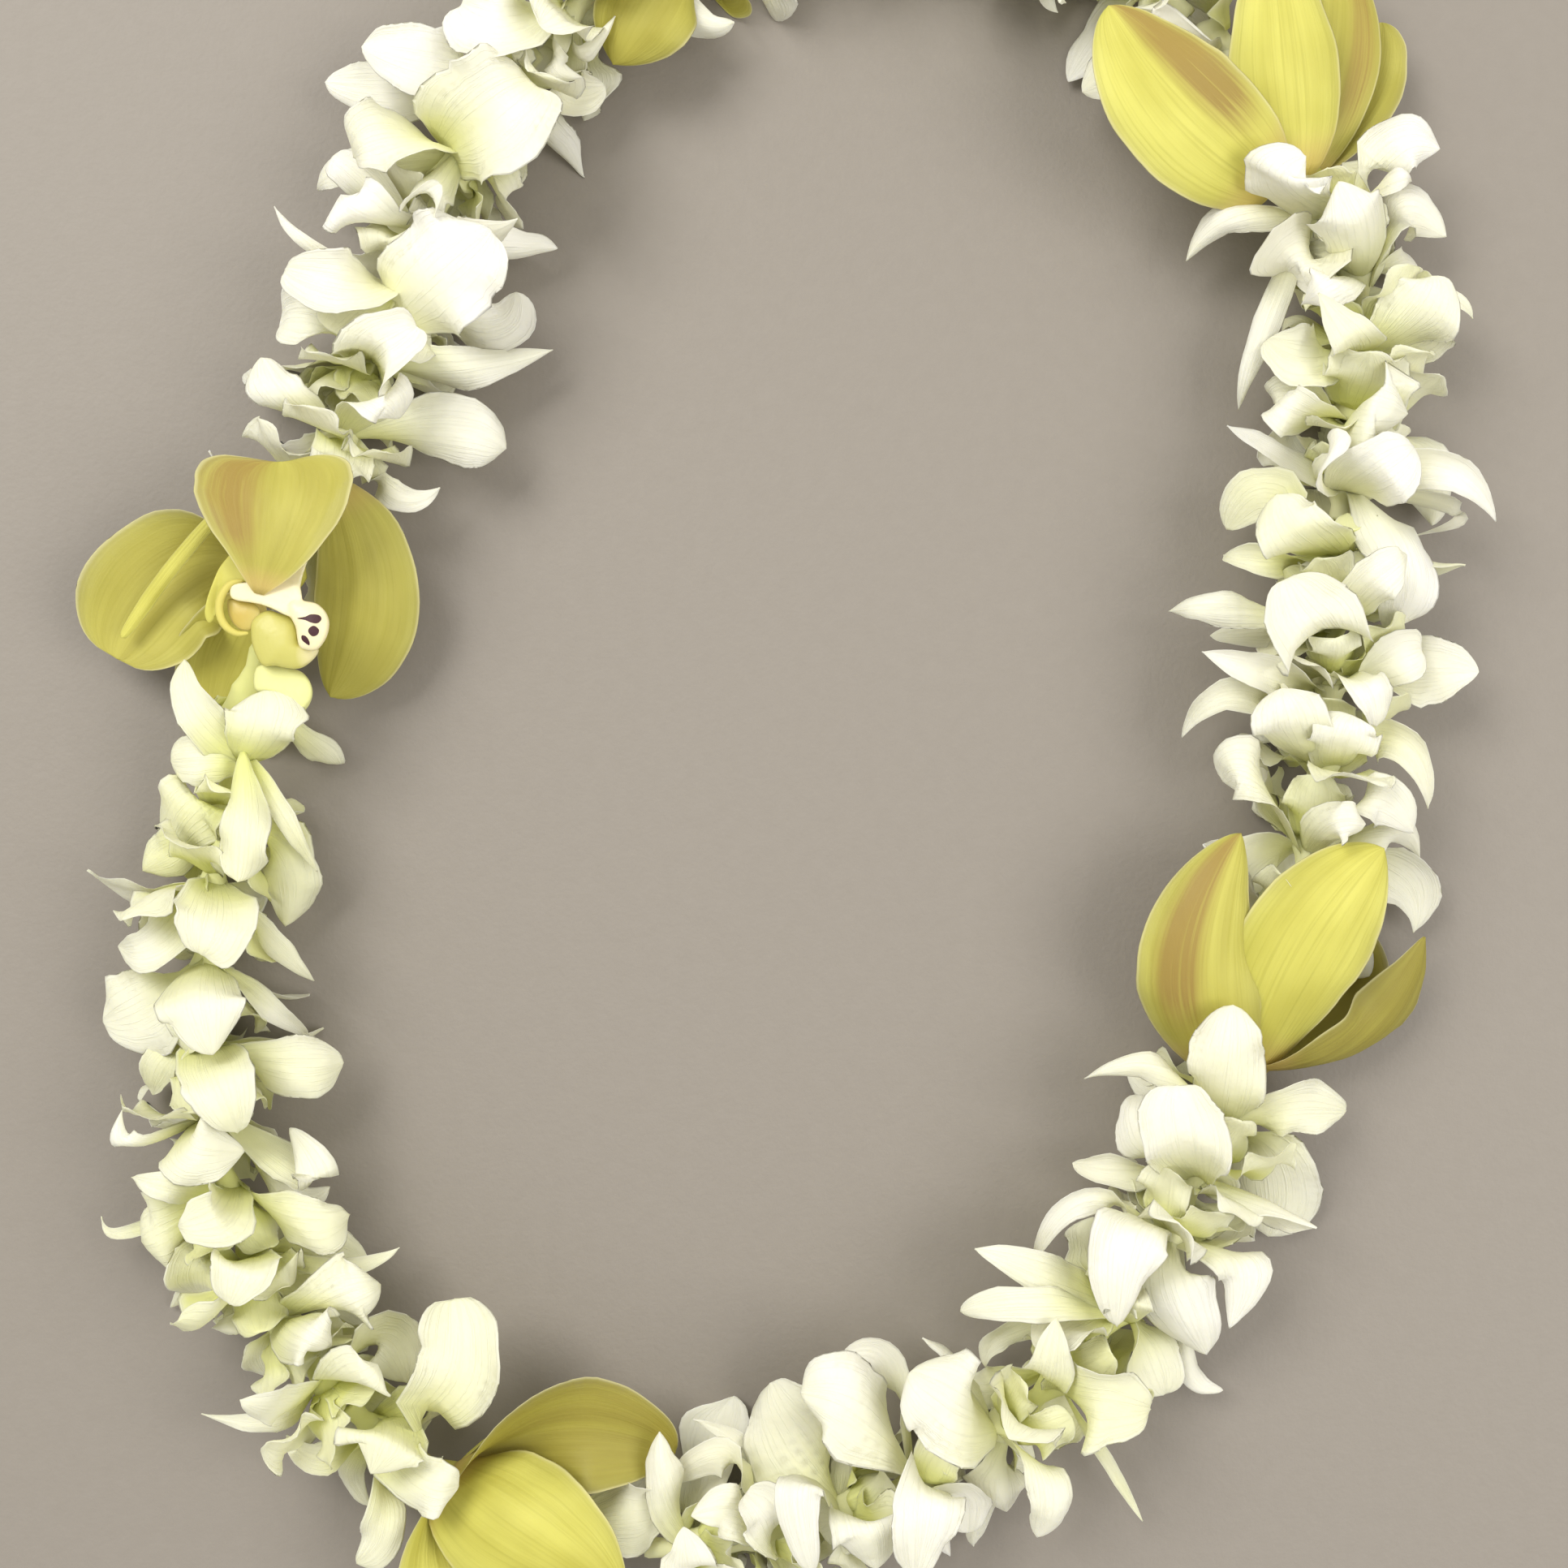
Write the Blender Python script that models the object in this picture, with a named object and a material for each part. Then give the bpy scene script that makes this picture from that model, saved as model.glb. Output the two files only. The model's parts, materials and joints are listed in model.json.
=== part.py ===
"""A flower lei: white orchid blooms and five yellow-green orchids, strung on one tied thread.

Lengths are in metres and +Z is up. The lei lies on the plane z = 0, and the origin is on that
plane at the middle of its outline. Seen from above the thread runs counter-clockwise, and every
bloom faces along it. Each bloom is one solid: a six-sided core with a bore for the thread, and a
blade on each side of the core for its three sepals, two petals and lip.
"""

import itertools
import math
import random
from dataclasses import dataclass, replace

import bpy
from mathutils import Quaternion, Vector
from mathutils.bvhtree import BVHTree

# Driving dimensions.
STRAND_LENGTH = 1.016
THREAD_RADIUS = 0.0005
THREAD_HEIGHT = 0.0155
CLEARANCE = 0.0004
PRESSED_DEPTH = 0.0022
MM = 0.001

# The photograph looks straight down at CAMERA_PX from this far above the thread.
CAMERA_ABOVE_THREAD = 0.55
CAMERA_PX = (966, 966)
OUTLINE_MIDDLE_PX = (957, 879)

# The thread's route seen from above, in pixels of the photograph, from the lowest yellow-green
# bloom round to the right. It is scaled so that once round measures STRAND_LENGTH.
ROUTE_PX = [
    (545, 1828), (670, 1890), (810, 1914), (960, 1895), (1100, 1842), (1225, 1770),
    (1335, 1672), (1420, 1560), (1480, 1440), (1535, 1310), (1585, 1165), (1620, 1030),
    (1637, 900), (1642, 775), (1647, 650), (1664, 525), (1682, 400), (1664, 285),
    (1600, 190), (1522, 82), (1428, -20), (1310, -95), (1175, -140), (1035, -150),
    (900, -118), (775, -50), (668, 45), (585, 165), (520, 290), (470, 415),
    (420, 540), (362, 670), (318, 800), (288, 930), (264, 1060), (252, 1190),
    (254, 1320), (272, 1440), (305, 1550), (362, 1655), (440, 1748),
]
SPLINE_STEPS = 16
HEX = 6
SIDE_ANGLE = math.radians(60)
UP = Vector((0, 0, 1))


def spline_points(controls, steps):
    """A closed cubic B-spline, which rounds the route's points off without wobbling."""
    found = []
    for i in range(len(controls)):
        a, b, c, d = (Vector(controls[(i + k) % len(controls)]) for k in (-1, 0, 1, 2))
        for step in range(steps):
            t = step / steps
            found.append(((1 - t) ** 3 * a + (3 * t**3 - 6 * t**2 + 4) * b
                          + (-3 * t**3 + 3 * t**2 + 3 * t + 1) * c + t**3 * d) / 6)
    return found


def running_length(points):
    """How far along the closed line each point is, and the length once round."""
    along = [0.0]
    for i, point in enumerate(points):
        along.append(along[-1] + (points[(i + 1) % len(points)] - point).length)
    return along[:-1], along[-1]


ROUTE = spline_points(ROUTE_PX, SPLINE_STEPS)
METRES_PER_PX = STRAND_LENGTH / running_length(ROUTE)[1]


def place(x_px, y_px, height):
    """The point at this height that shows at this pixel."""
    nearer = 1 - (height - THREAD_HEIGHT) / CAMERA_ABOVE_THREAD
    x = CAMERA_PX[0] + (x_px - CAMERA_PX[0]) * nearer - OUTLINE_MIDDLE_PX[0]
    y = CAMERA_PX[1] + (y_px - CAMERA_PX[1]) * nearer - OUTLINE_MIDDLE_PX[1]
    return Vector((x * METRES_PER_PX, -y * METRES_PER_PX, height))


STRAND = [place(x, y, THREAD_HEIGHT) for x, y in ROUTE]
STRAND_ALONG, _ = running_length(STRAND)


@dataclass
class Frame:
    """A place on the thread: the directions along it, up, and out of the loop."""
    origin: Vector
    along: Vector
    out: Vector

    def radial(self, angle):
        return UP * math.cos(angle) + self.out * math.sin(angle)


def frame_at(distance):
    """The thread's frame at a distance along it from the route's first point."""
    distance %= STRAND_LENGTH
    low, high = 0, len(STRAND_ALONG) - 1
    while low < high:
        middle = (low + high + 1) // 2
        if STRAND_ALONG[middle] <= distance:
            low = middle
        else:
            high = middle - 1
    here, there = STRAND[low], STRAND[(low + 1) % len(STRAND)]
    step = there - here
    before = here - STRAND[low - 1]
    share = (distance - STRAND_ALONG[low]) / step.length
    along = before.normalized().lerp(step.normalized(), 0.5 + share / 2).normalized()
    return Frame(here + step * share, along, along.cross(UP))


def distance_at(x_px, y_px):
    """How far along the thread its nearest point to this pixel is."""
    wanted = place(x_px, y_px, THREAD_HEIGHT)
    return STRAND_ALONG[min(range(len(STRAND)), key=lambda i: (STRAND[i] - wanted).length)]


@dataclass
class Form:
    """One kind of blade. claw and point are how slowly it widens from its root and how sharply
    it ends; cup lifts its edges towards its face, as a share of its half width; rows are the
    shares of its length that get a cross-section, of this many columns."""
    length: float
    width: float
    claw: float
    point: float
    cup: float
    rows: tuple
    columns: int
    thickness: float


WHITE_SEPAL = Form(0.029, 0.0125, 0.45, 0.60, -0.30, (0.25, 0.55, 0.83), 3, 0.0008)
WHITE_PETAL = Form(0.029, 0.0240, 0.50, 0.34, -0.15, (0.20, 0.46, 0.74, 0.94), 3, 0.0008)
WHITE_LIP = Form(0.023, 0.0150, 0.40, 0.28, 0.45, (0.25, 0.50, 0.75, 0.94), 3, 0.0008)
YELLOW_ROWS = (0.10, 0.28, 0.48, 0.68, 0.88)
YELLOW_SEPAL = Form(0.053, 0.0240, 1.10, 0.68, 0.26, YELLOW_ROWS, 5, 0.0011)
YELLOW_PETAL = Form(0.052, 0.0260, 1.15, 0.60, 0.24, YELLOW_ROWS, 5, 0.0011)
YELLOW_FAN = Form(0.040, 0.0330, 0.95, 0.16, 0.35, (0.14, 0.36, 0.60, 0.84, 0.97), 5, 0.0011)
YELLOW_LIP = Form(0.024, 0.0150, 0.55, 0.35, 0.55, (0.15, 0.40, 0.68, 0.92), 5, 0.0011)
YELLOW_COLUMN = Form(0.018, 0.0075, 0.30, 0.30, 0.10, (0.30, 0.62, 0.90), 3, 0.0046)
FORMS = {"sepal": WHITE_SEPAL, "petal": WHITE_PETAL, "lip": WHITE_LIP, "yellow_sepal": YELLOW_SEPAL,
         "yellow_petal": YELLOW_PETAL, "yellow_fan": YELLOW_FAN, "yellow_lip": YELLOW_LIP,
         "column": YELLOW_COLUMN}
# A blade's root is as wide as this share of its length makes it. A blade has turned to its tip's
# way across by TURNED_BY of its length, and is this much wider than it looks from above.
ROOT_SHARE = 0.08
TURNED_BY = 0.625
WIDER = 1.16


@dataclass
class Core:
    """A bloom's middle, bored for the thread. Its blades grow from a six-sided belt of this
    radius and half depth. It tapers back from there to its stem, and ahead to its mouth, which
    is this far ahead of the belt and this deep."""
    belt_radius: float
    belt_half: float
    stem_radius: float
    longest_stem: float
    mouth_radius: float
    mouth_ahead: float
    mouth_depth: float


BORE_RADIUS = 0.00125
CORE_GAP = 0.0005
WHITE_CORE = Core(0.0038, 0.0013, 0.0026, 0.0100, 0.0052, 0.0045, 0.0030)
YELLOW_CORE = Core(0.0052, 0.0018, 0.0030, 0.0120, 0.0030, 0.0, 0.0)
COLUMN_CORE = Core(0.0034, 0.0015, 0.0026, 0.0024, 0.0026, 0.0, 0.0)


@dataclass
class Blade:
    """A blade in place: its midrib as a cubic curve, and the way across it at root and tip."""
    form: Form
    midrib: tuple
    across: tuple
    width: float


@dataclass
class Seen:
    """A blade that the photograph shows: how wide it looks there in pixels, and a point halfway
    along it and its tip as (x, y, height), in pixels and millimetres. A twist in degrees turns
    its face away from the camera."""
    kind: str
    width_px: float
    middle: tuple
    tip: tuple
    twist: float = 0.0

    def blade(self, root, side):
        middle, tip = (place(x, y, height * MM) for x, y, height in (self.middle, self.tip))
        pull = middle * 2 - (root + tip) / 2
        midrib = (root, root.lerp(pull, 2 / 3), tip.lerp(pull, 2 / 3), tip)
        arriving = (tip - pull).normalized()
        across = (tip - middle).cross(UP).normalized()
        if across.dot(side) < 0:
            across = -across
        across.rotate(Quaternion(arriving, math.radians(self.twist)))
        return Blade(FORMS[self.kind], midrib, (side, across), self.width_px * METRES_PER_PX * WIDER)

    def bearing(self, bloom):
        """The angle round the bloom's middle at which the blade sets out."""
        middle = place(self.middle[0], self.middle[1], self.middle[2] * MM) - bloom.frame.origin
        return math.atan2(middle.dot(bloom.radial(math.pi / 2)), middle.dot(bloom.radial(0)))


@dataclass
class Guessed:
    """A blade that the photograph hides: its angles from the way the bloom faces, at its root and
    at its tip, a turn about its own length, and a share of full size."""
    kind: str
    start: float
    end: float
    twist: float = 0.0
    size: float = 1.0

    def blade(self, root, side, facing, radial):
        form = FORMS[self.kind]
        start, end = math.radians(self.start), math.radians(self.end)
        leaving = facing * math.cos(start) + radial * math.sin(start)
        arriving = facing * math.cos(end) + radial * math.sin(end)
        half_turn = max(abs(end - start) / 2, 0.001)
        length = form.length * self.size
        tip = root + (leaving + arriving).normalized() * length * math.sin(half_turn) / half_turn
        across = side.copy()
        across.rotate(Quaternion(arriving, math.radians(self.twist)))
        midrib = (root, root + leaving * length / 3, tip - arriving * length / 3, tip)
        return Blade(form, midrib, (side, across), form.width * self.size)


def outline(form, t):
    """The blade's width at t, from 0 at its root to 1 at its tip, as a share of its widest."""
    q = (t + ROOT_SHARE) / (1 + ROOT_SHARE)
    widest = form.claw / (form.claw + form.point)
    return (q / widest) ** form.claw * ((1 - q) / (1 - widest)) ** form.point


def section(blade, t):
    """The midrib's point at t, and the directions across the blade and out of its face there."""
    a, b, c, d = blade.midrib
    s = 1 - t
    point = s**3 * a + 3 * s * s * t * b + 3 * s * t * t * c + t**3 * d
    slope = (s * s * (b - a) + 2 * s * t * (c - b) + t * t * (d - c)).normalized()
    across = blade.across[0].lerp(blade.across[1], min(1.0, t / TURNED_BY))
    across = (across - slope * across.dot(slope)).normalized()
    return point, across, slope.cross(across)


def ring_of(blade, t, grown):
    """A cross-section as a closed ring of points: left edge, back, right edge, face. What would
    be under the table is pressed flat on it."""
    form = blade.form
    point, across, face = section(blade, t)
    half = blade.width * outline(form, t) / 2 + grown
    thick = form.thickness / 2 + grown
    inner = [2 * k / (form.columns - 1) - 1 for k in range(1, form.columns - 1)]

    def at(u, lift):
        bulge = math.sqrt(1 - u * u)
        return point + across * half * u + face * (form.cup * half * u * u + lift * bulge)

    backs = [at(u, -thick) for u in inner]
    faces = [at(u, thick) for u in inner]
    for pair in zip(backs, faces):
        under, over = sorted(pair, key=lambda p: p.z)
        under.z = max(under.z, 0.0)
        over.z = max(over.z, form.thickness)
    edges = [at(-1, 0), at(1, 0)]
    for edge in edges:
        edge.z = max(edge.z, 0.0)
    return [edges[0], *backs, edges[1], *reversed(faces)]


def stitch(low, high):
    """Triangles between two rings round one axis, each a list of (share of the turn, index)."""
    faces = []
    i = j = 0
    while i < len(low) or j < len(high):
        next_low = low[(i + 1) % len(low)][0] + (i + 1) // len(low)
        next_high = high[(j + 1) % len(high)][0] + (j + 1) // len(high)
        here, there = low[i % len(low)][1], high[j % len(high)][1]
        if j == len(high) or (i < len(low) and next_low <= next_high):
            faces.append((here, low[(i + 1) % len(low)][1], there))
            i += 1
        else:
            faces.append((here, high[(j + 1) % len(high)][1], there))
            j += 1
    return faces


ROOT_CORNERS = (0.125, 0.375, 0.625, 0.875)


def blade_shell(blade, root, grown=0.0):
    """Points and triangles of a blade that grows from four root corners, which come first."""
    points = list(root)
    previous = list(zip(ROOT_CORNERS, range(4)))
    faces = []
    for t in blade.form.rows:
        ring = ring_of(blade, t, grown)
        first = len(points)
        points += ring
        count = len(ring)
        current = [(k / count, first + k) for k in range(count)]
        if first == 4:
            faces += stitch(previous, current)
        else:
            for k in range(count):
                a, b = previous[k][1], previous[(k + 1) % count][1]
                c, d = current[(k + 1) % count][1], current[k][1]
                faces += [(a, b, c), (a, c, d)] if k < count // 2 else [(a, b, d), (b, c, d)]
        previous = current
    tip = blade.midrib[3].copy()
    tip.z = max(tip.z, blade.form.thickness / 2)
    points.append(tip)
    count = len(previous)
    faces += [(previous[k][1], previous[(k + 1) % count][1], len(points) - 1) for k in range(count)]
    return points, faces


ROLLS_TRIED = 6


@dataclass
class Bloom:
    """A bloom on the thread: its blades, seen or guessed, are dealt out to its core's sides."""
    name: str
    material: str
    core: Core
    distance: float
    facing_up: float
    wishes: list
    roll: float = 0.0
    sides: tuple = ()

    def __post_init__(self):
        self.frame = frame_at(self.distance)
        tilt = math.radians(self.facing_up)
        self.facing = self.frame.along * math.cos(tilt) + UP * math.sin(tilt)
        self.front = (self.core.belt_half + self.core.belt_radius * math.sin(tilt) + CORE_GAP
                      + self.core.mouth_ahead)
        self.deal()
        self.blades = {}

    def radial(self, angle):
        """The direction square to the way the bloom faces, at this angle from the upper side."""
        out = self.frame.out
        return out.cross(self.facing) * math.cos(angle) + out * math.sin(angle)

    def deal(self):
        """Turns the core, and gives each seen blade the side that best meets its bearing. The
        guessed blades take the sides that are left."""
        seen = [wish for wish in self.wishes if isinstance(wish, Seen)]
        guessed = [wish for wish in self.wishes if isinstance(wish, Guessed)]
        bearings = [wish.bearing(self) for wish in seen]
        sides = self.sides
        if seen and not sides:
            def miss(option):
                turn, order = option
                return sum((1 - math.cos(turn + side * SIDE_ANGLE - bearing)) ** 2
                           for side, bearing in zip(order, bearings))
            turns = [SIDE_ANGLE * k / ROLLS_TRIED for k in range(ROLLS_TRIED)]
            orders = itertools.permutations(range(HEX), len(seen))
            self.roll, sides = min(itertools.product(turns, list(orders)), key=miss)
        self.wish_at = dict(zip(sides or (), seen))
        free = [side for side in range(HEX) if side not in self.wish_at]
        spacing = max(1, len(free) // max(1, len(guessed)))
        self.wish_at.update(zip(free[::spacing], guessed))

    def shape_core(self, behind):
        """Sets the core's rings of corners, from the back over its outside to the front, and back
        through the bore. The back reaches almost to the bloom behind, which ends at this distance."""
        room = (self.distance - behind) % STRAND_LENGTH - CORE_GAP
        back = min(self.core.longest_stem, room)

        def ring(along, radius):
            frame = frame_at(self.distance + along)
            return [frame.origin + frame.radial(self.roll + (k - 0.5) * SIDE_ANGLE) * radius
                    for k in range(HEX)]

        def belt(offset):
            return [self.frame.origin + self.facing * offset
                    + self.radial(self.roll + (k - 0.5) * SIDE_ANGLE) * self.core.belt_radius
                    for k in range(HEX)]

        core = self.core
        self.rings = [ring(-back, core.stem_radius), belt(-core.belt_half), belt(core.belt_half),
                      ring(self.front, core.mouth_radius),
                      ring(self.front - core.mouth_depth, BORE_RADIUS), ring(-back, BORE_RADIUS)]

    def root(self, side):
        """The four core corners that a blade grows from, in the order of a blade's ring."""
        right = (side + 1) % HEX
        return [self.rings[1][side], self.rings[1][right], self.rings[2][right], self.rings[2][side]]

    def wished_blade(self, side):
        wish = self.wish_at[side]
        root = sum(self.root(side), Vector()) / 4
        radial = self.radial(self.roll + side * SIDE_ANGLE)
        across = self.facing.cross(radial)
        if isinstance(wish, Seen):
            return wish.blade(root, across)
        return wish.blade(root, across, self.facing, radial)


def core_shell(rings, open_sides):
    """Points and triangles of a bloom's core, with no face on the sides where blades grow."""
    points = [corner for ring in rings for corner in ring]
    faces = []
    for r in range(len(rings)):
        for k in range(HEX):
            if r == 1 and k in open_sides:
                continue
            low, high = r * HEX, ((r + 1) % len(rings)) * HEX
            a, b, c, d = low + k, low + (k + 1) % HEX, high + (k + 1) % HEX, high + k
            faces += [(a, b, c), (a, c, d)]
    return points, faces


class Obstacle:
    """Something already in place that a new blade has to clear, inside a ball of this reach."""

    def __init__(self, points, faces):
        self.tree = BVHTree.FromPolygons(points, faces)
        self.middle = sum(points, Vector()) / len(points)
        self.reach = max((p - self.middle).length for p in points)


GUARD_RADIUS = 0.0022
GUARD_STEP = 4


def thread_guard():
    """A slim tube along the thread, which no blade may cross."""
    points, faces = [], []
    stops = range(0, len(STRAND), GUARD_STEP)
    for i in stops:
        frame = frame_at(STRAND_ALONG[i])
        points += [frame.origin + frame.radial(k * SIDE_ANGLE) * GUARD_RADIUS for k in range(HEX)]
    for i in range(len(stops)):
        j = (i + 1) % len(stops)
        faces += [(i * HEX + k, i * HEX + (k + 1) % HEX, j * HEX + (k + 1) % HEX, j * HEX + k)
                  for k in range(HEX)]
    return points, faces


# A blade is tried this many times, ever further from where it is wished. At full effort its tip
# moves this far, it turns this many degrees, and it is this share of its size.
ATTEMPTS = 500
EFFORT_POWER = 1.8
MOST_ASIDE = 0.013
MOST_UP = 0.017
MOST_TWIST = 50
SMALLEST_SIZE = 0.6
SHRINKS_FROM = 0.45
SWELL_LEAVING = 0.4
SWELL_ARRIVING = 0.6
MOVE_ARRIVING = 0.7
ROOT_DRAWN_IN = 0.35


def bent_aside(blade, effort, draw):
    """The same blade, moved by up to this effort from 0 to 1, and smaller at great effort."""
    def any_way():
        return Vector((draw.uniform(-1, 1) * MOST_ASIDE, draw.uniform(-1, 1) * MOST_ASIDE,
                       draw.uniform(-1, 1) * MOST_UP)) * effort

    root, leaving, arriving, tip = blade.midrib
    size = 1 - (1 - SMALLEST_SIZE) * max(0.0, effort - SHRINKS_FROM) / (1 - SHRINKS_FROM)
    move, swell = any_way(), any_way()
    midrib = (root,
              root + (leaving - root) * size + swell * SWELL_LEAVING,
              root + (arriving - root) * size + swell * SWELL_ARRIVING + move * MOVE_ARRIVING,
              root + (tip - root) * size + move)
    turn = Quaternion((midrib[3] - midrib[2]).normalized(),
                      math.radians(draw.uniform(-MOST_TWIST, MOST_TWIST) * effort))
    across = blade.across[1].copy()
    across.rotate(turn)
    return replace(blade, midrib=midrib, across=(blade.across[0], across), width=blade.width * size)


def drawn_in(root, points):
    """The blade's points with its root pulled off the core's edges, to test it against them."""
    heart = sum(root, Vector()) / len(root)
    return [corner.lerp(heart, ROOT_DRAWN_IN) for corner in root] + points[len(root):]


def clears(blade, root, obstacles):
    """Whether the blade, grown by the clearance, is above the table and crosses nothing."""
    lowest = min(section(blade, t)[0].z for t in (*blade.form.rows, 1.0))
    if lowest < -PRESSED_DEPTH:
        return False
    points, faces = blade_shell(blade, root, CLEARANCE)
    grown = Obstacle(drawn_in(root, points), faces)
    return not any((obstacle.middle - grown.middle).length < obstacle.reach + grown.reach
                   and grown.tree.overlap(obstacle.tree) for obstacle in obstacles)


def grow(bloom, side, obstacles, draw):
    """Bends one blade clear of what is in place, and keeps it."""
    root = bloom.root(side)
    wished = bloom.wished_blade(side)
    for attempt in range(ATTEMPTS):
        blade = bent_aside(wished, (attempt / (ATTEMPTS - 1)) ** EFFORT_POWER, draw)
        if clears(blade, root, obstacles):
            points, faces = blade_shell(blade, root)
            obstacles.append(Obstacle(drawn_in(root, points), faces))
            bloom.blades[side] = blade
            return
    print(f"{bloom.name}: no room on side {side}")


def bloom_mesh(bloom):
    """One closed mesh: the core, and a blade on each side that has one."""
    points, faces = core_shell(bloom.rings, bloom.blades)
    for side, blade in bloom.blades.items():
        more, more_faces = blade_shell(blade, bloom.root(side))
        right = (side + 1) % HEX
        known = [HEX + side, HEX + right, 2 * HEX + right, 2 * HEX + side]
        index = known + list(range(len(points), len(points) + len(more) - 4))
        points += more[4:]
        faces += [tuple(index[i] for i in face) for face in more_faces]
    mesh = bpy.data.meshes.new(bloom.name)
    mesh.from_pydata(points, [], faces)
    mesh.validate()
    return mesh


# What the photograph shows of each white bloom: where its core is on the thread, in pixels, and
# the blades that can be made out. They are listed in stringing order, from the lowest
# yellow-green bloom round to the right.
S, P, L = "sepal", "petal", "lip"
BOTTOM = [
    ((700, 1897), Seen(P, 80, (757, 1888, 17), (800, 1898, 15))),
    ((845, 1908), Seen(S, 42, (822, 1832, 25), (812, 1766, 27)),
     Seen(P, 55, (850, 1932, 31), (842, 1888, 37))),
    ((945, 1895), Seen(P, 42, (902, 1812, 23), (836, 1852, 17)),
     Seen(P, 50, (905, 1862, 31), (858, 1865, 31)), Seen(L, 60, (950, 1868, 35), (935, 1842, 36)),
     Seen(S, 26, (928, 1795, 17), (852, 1743, 19))),
    ((1038, 1867), Seen(P, 112, (1000, 1785, 23), (970, 1724, 19)),
     Seen(P, 45, (985, 1832, 39), (1000, 1928, 31)), Seen(P, 65, (1065, 1880, 36), (1082, 1940, 28))),
    ((1128, 1820), Seen(P, 88, (1062, 1738, 36), (988, 1716, 34)),
     Seen(S, 34, (1096, 1682, 21), (1043, 1672, 17)), Seen(P, 66, (1142, 1850, 37), (1128, 1940, 30)),
     Seen(P, 60, (1178, 1828, 24), (1216, 1862, 19))),
    ((1236, 1762), Seen(P, 96, (1180, 1736, 40), (1122, 1694, 38)),
     Seen(P, 42, (1292, 1830, 28), (1278, 1903, 22)), Seen(P, 60, (1236, 1832, 17), (1242, 1870, 13)),
     Seen(S, 28, (1216, 1850, 12), (1214, 1903, 8))),
    ((1303, 1705), Seen(S, 48, (1292, 1690, 35), (1303, 1624, 39)),
     Seen(P, 84, (1352, 1726, 35), (1412, 1724, 28)), Seen(L, 50, (1355, 1672, 31), (1374, 1642, 34)),
     Seen(S, 15, (1362, 1797, 14), (1401, 1862, 8)), Seen(P, 60, (1252, 1736, 15), (1218, 1712, 11))),
    ((1383, 1618), Seen(S, 46, (1296, 1570, 30), (1208, 1543, 27)),
     Seen(P, 34, (1280, 1606, 35), (1183, 1616, 30)), Seen(S, 30, (1244, 1640, 14), (1220, 1672, 8)),
     Seen(P, 60, (1415, 1675, 15), (1432, 1716, 11)), Seen(L, 55, (1380, 1620, 36), (1358, 1645, 35))),
    ((1441, 1527), Seen(S, 28, (1343, 1478, 31), (1274, 1550, 23)),
     Seen(P, 72, (1392, 1520, 39), (1376, 1632, 33)), Seen(P, 75, (1440, 1600, 30), (1482, 1670, 21)),
     Seen(S, 60, (1530, 1560, 26), (1514, 1628, 20)), Seen(L, 26, (1460, 1675, 12), (1502, 1708, 7))),
    ((1480, 1447), Seen(P, 66, (1408, 1402, 32), (1372, 1328, 31)),
     Seen(P, 82, (1458, 1402, 39), (1450, 1336, 40)), Seen(S, 34, (1388, 1442, 16), (1336, 1425, 14))),
    ((1510, 1385), Seen(L, 78, (1512, 1325, 36), (1521, 1236, 38)),
     Seen(P, 56, (1592, 1350, 27), (1668, 1350, 21)), Seen(P, 92, (1556, 1420, 15), (1562, 1496, 9)),
     Seen(S, 32, (1440, 1312, 33), (1357, 1326, 28))),
]
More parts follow.
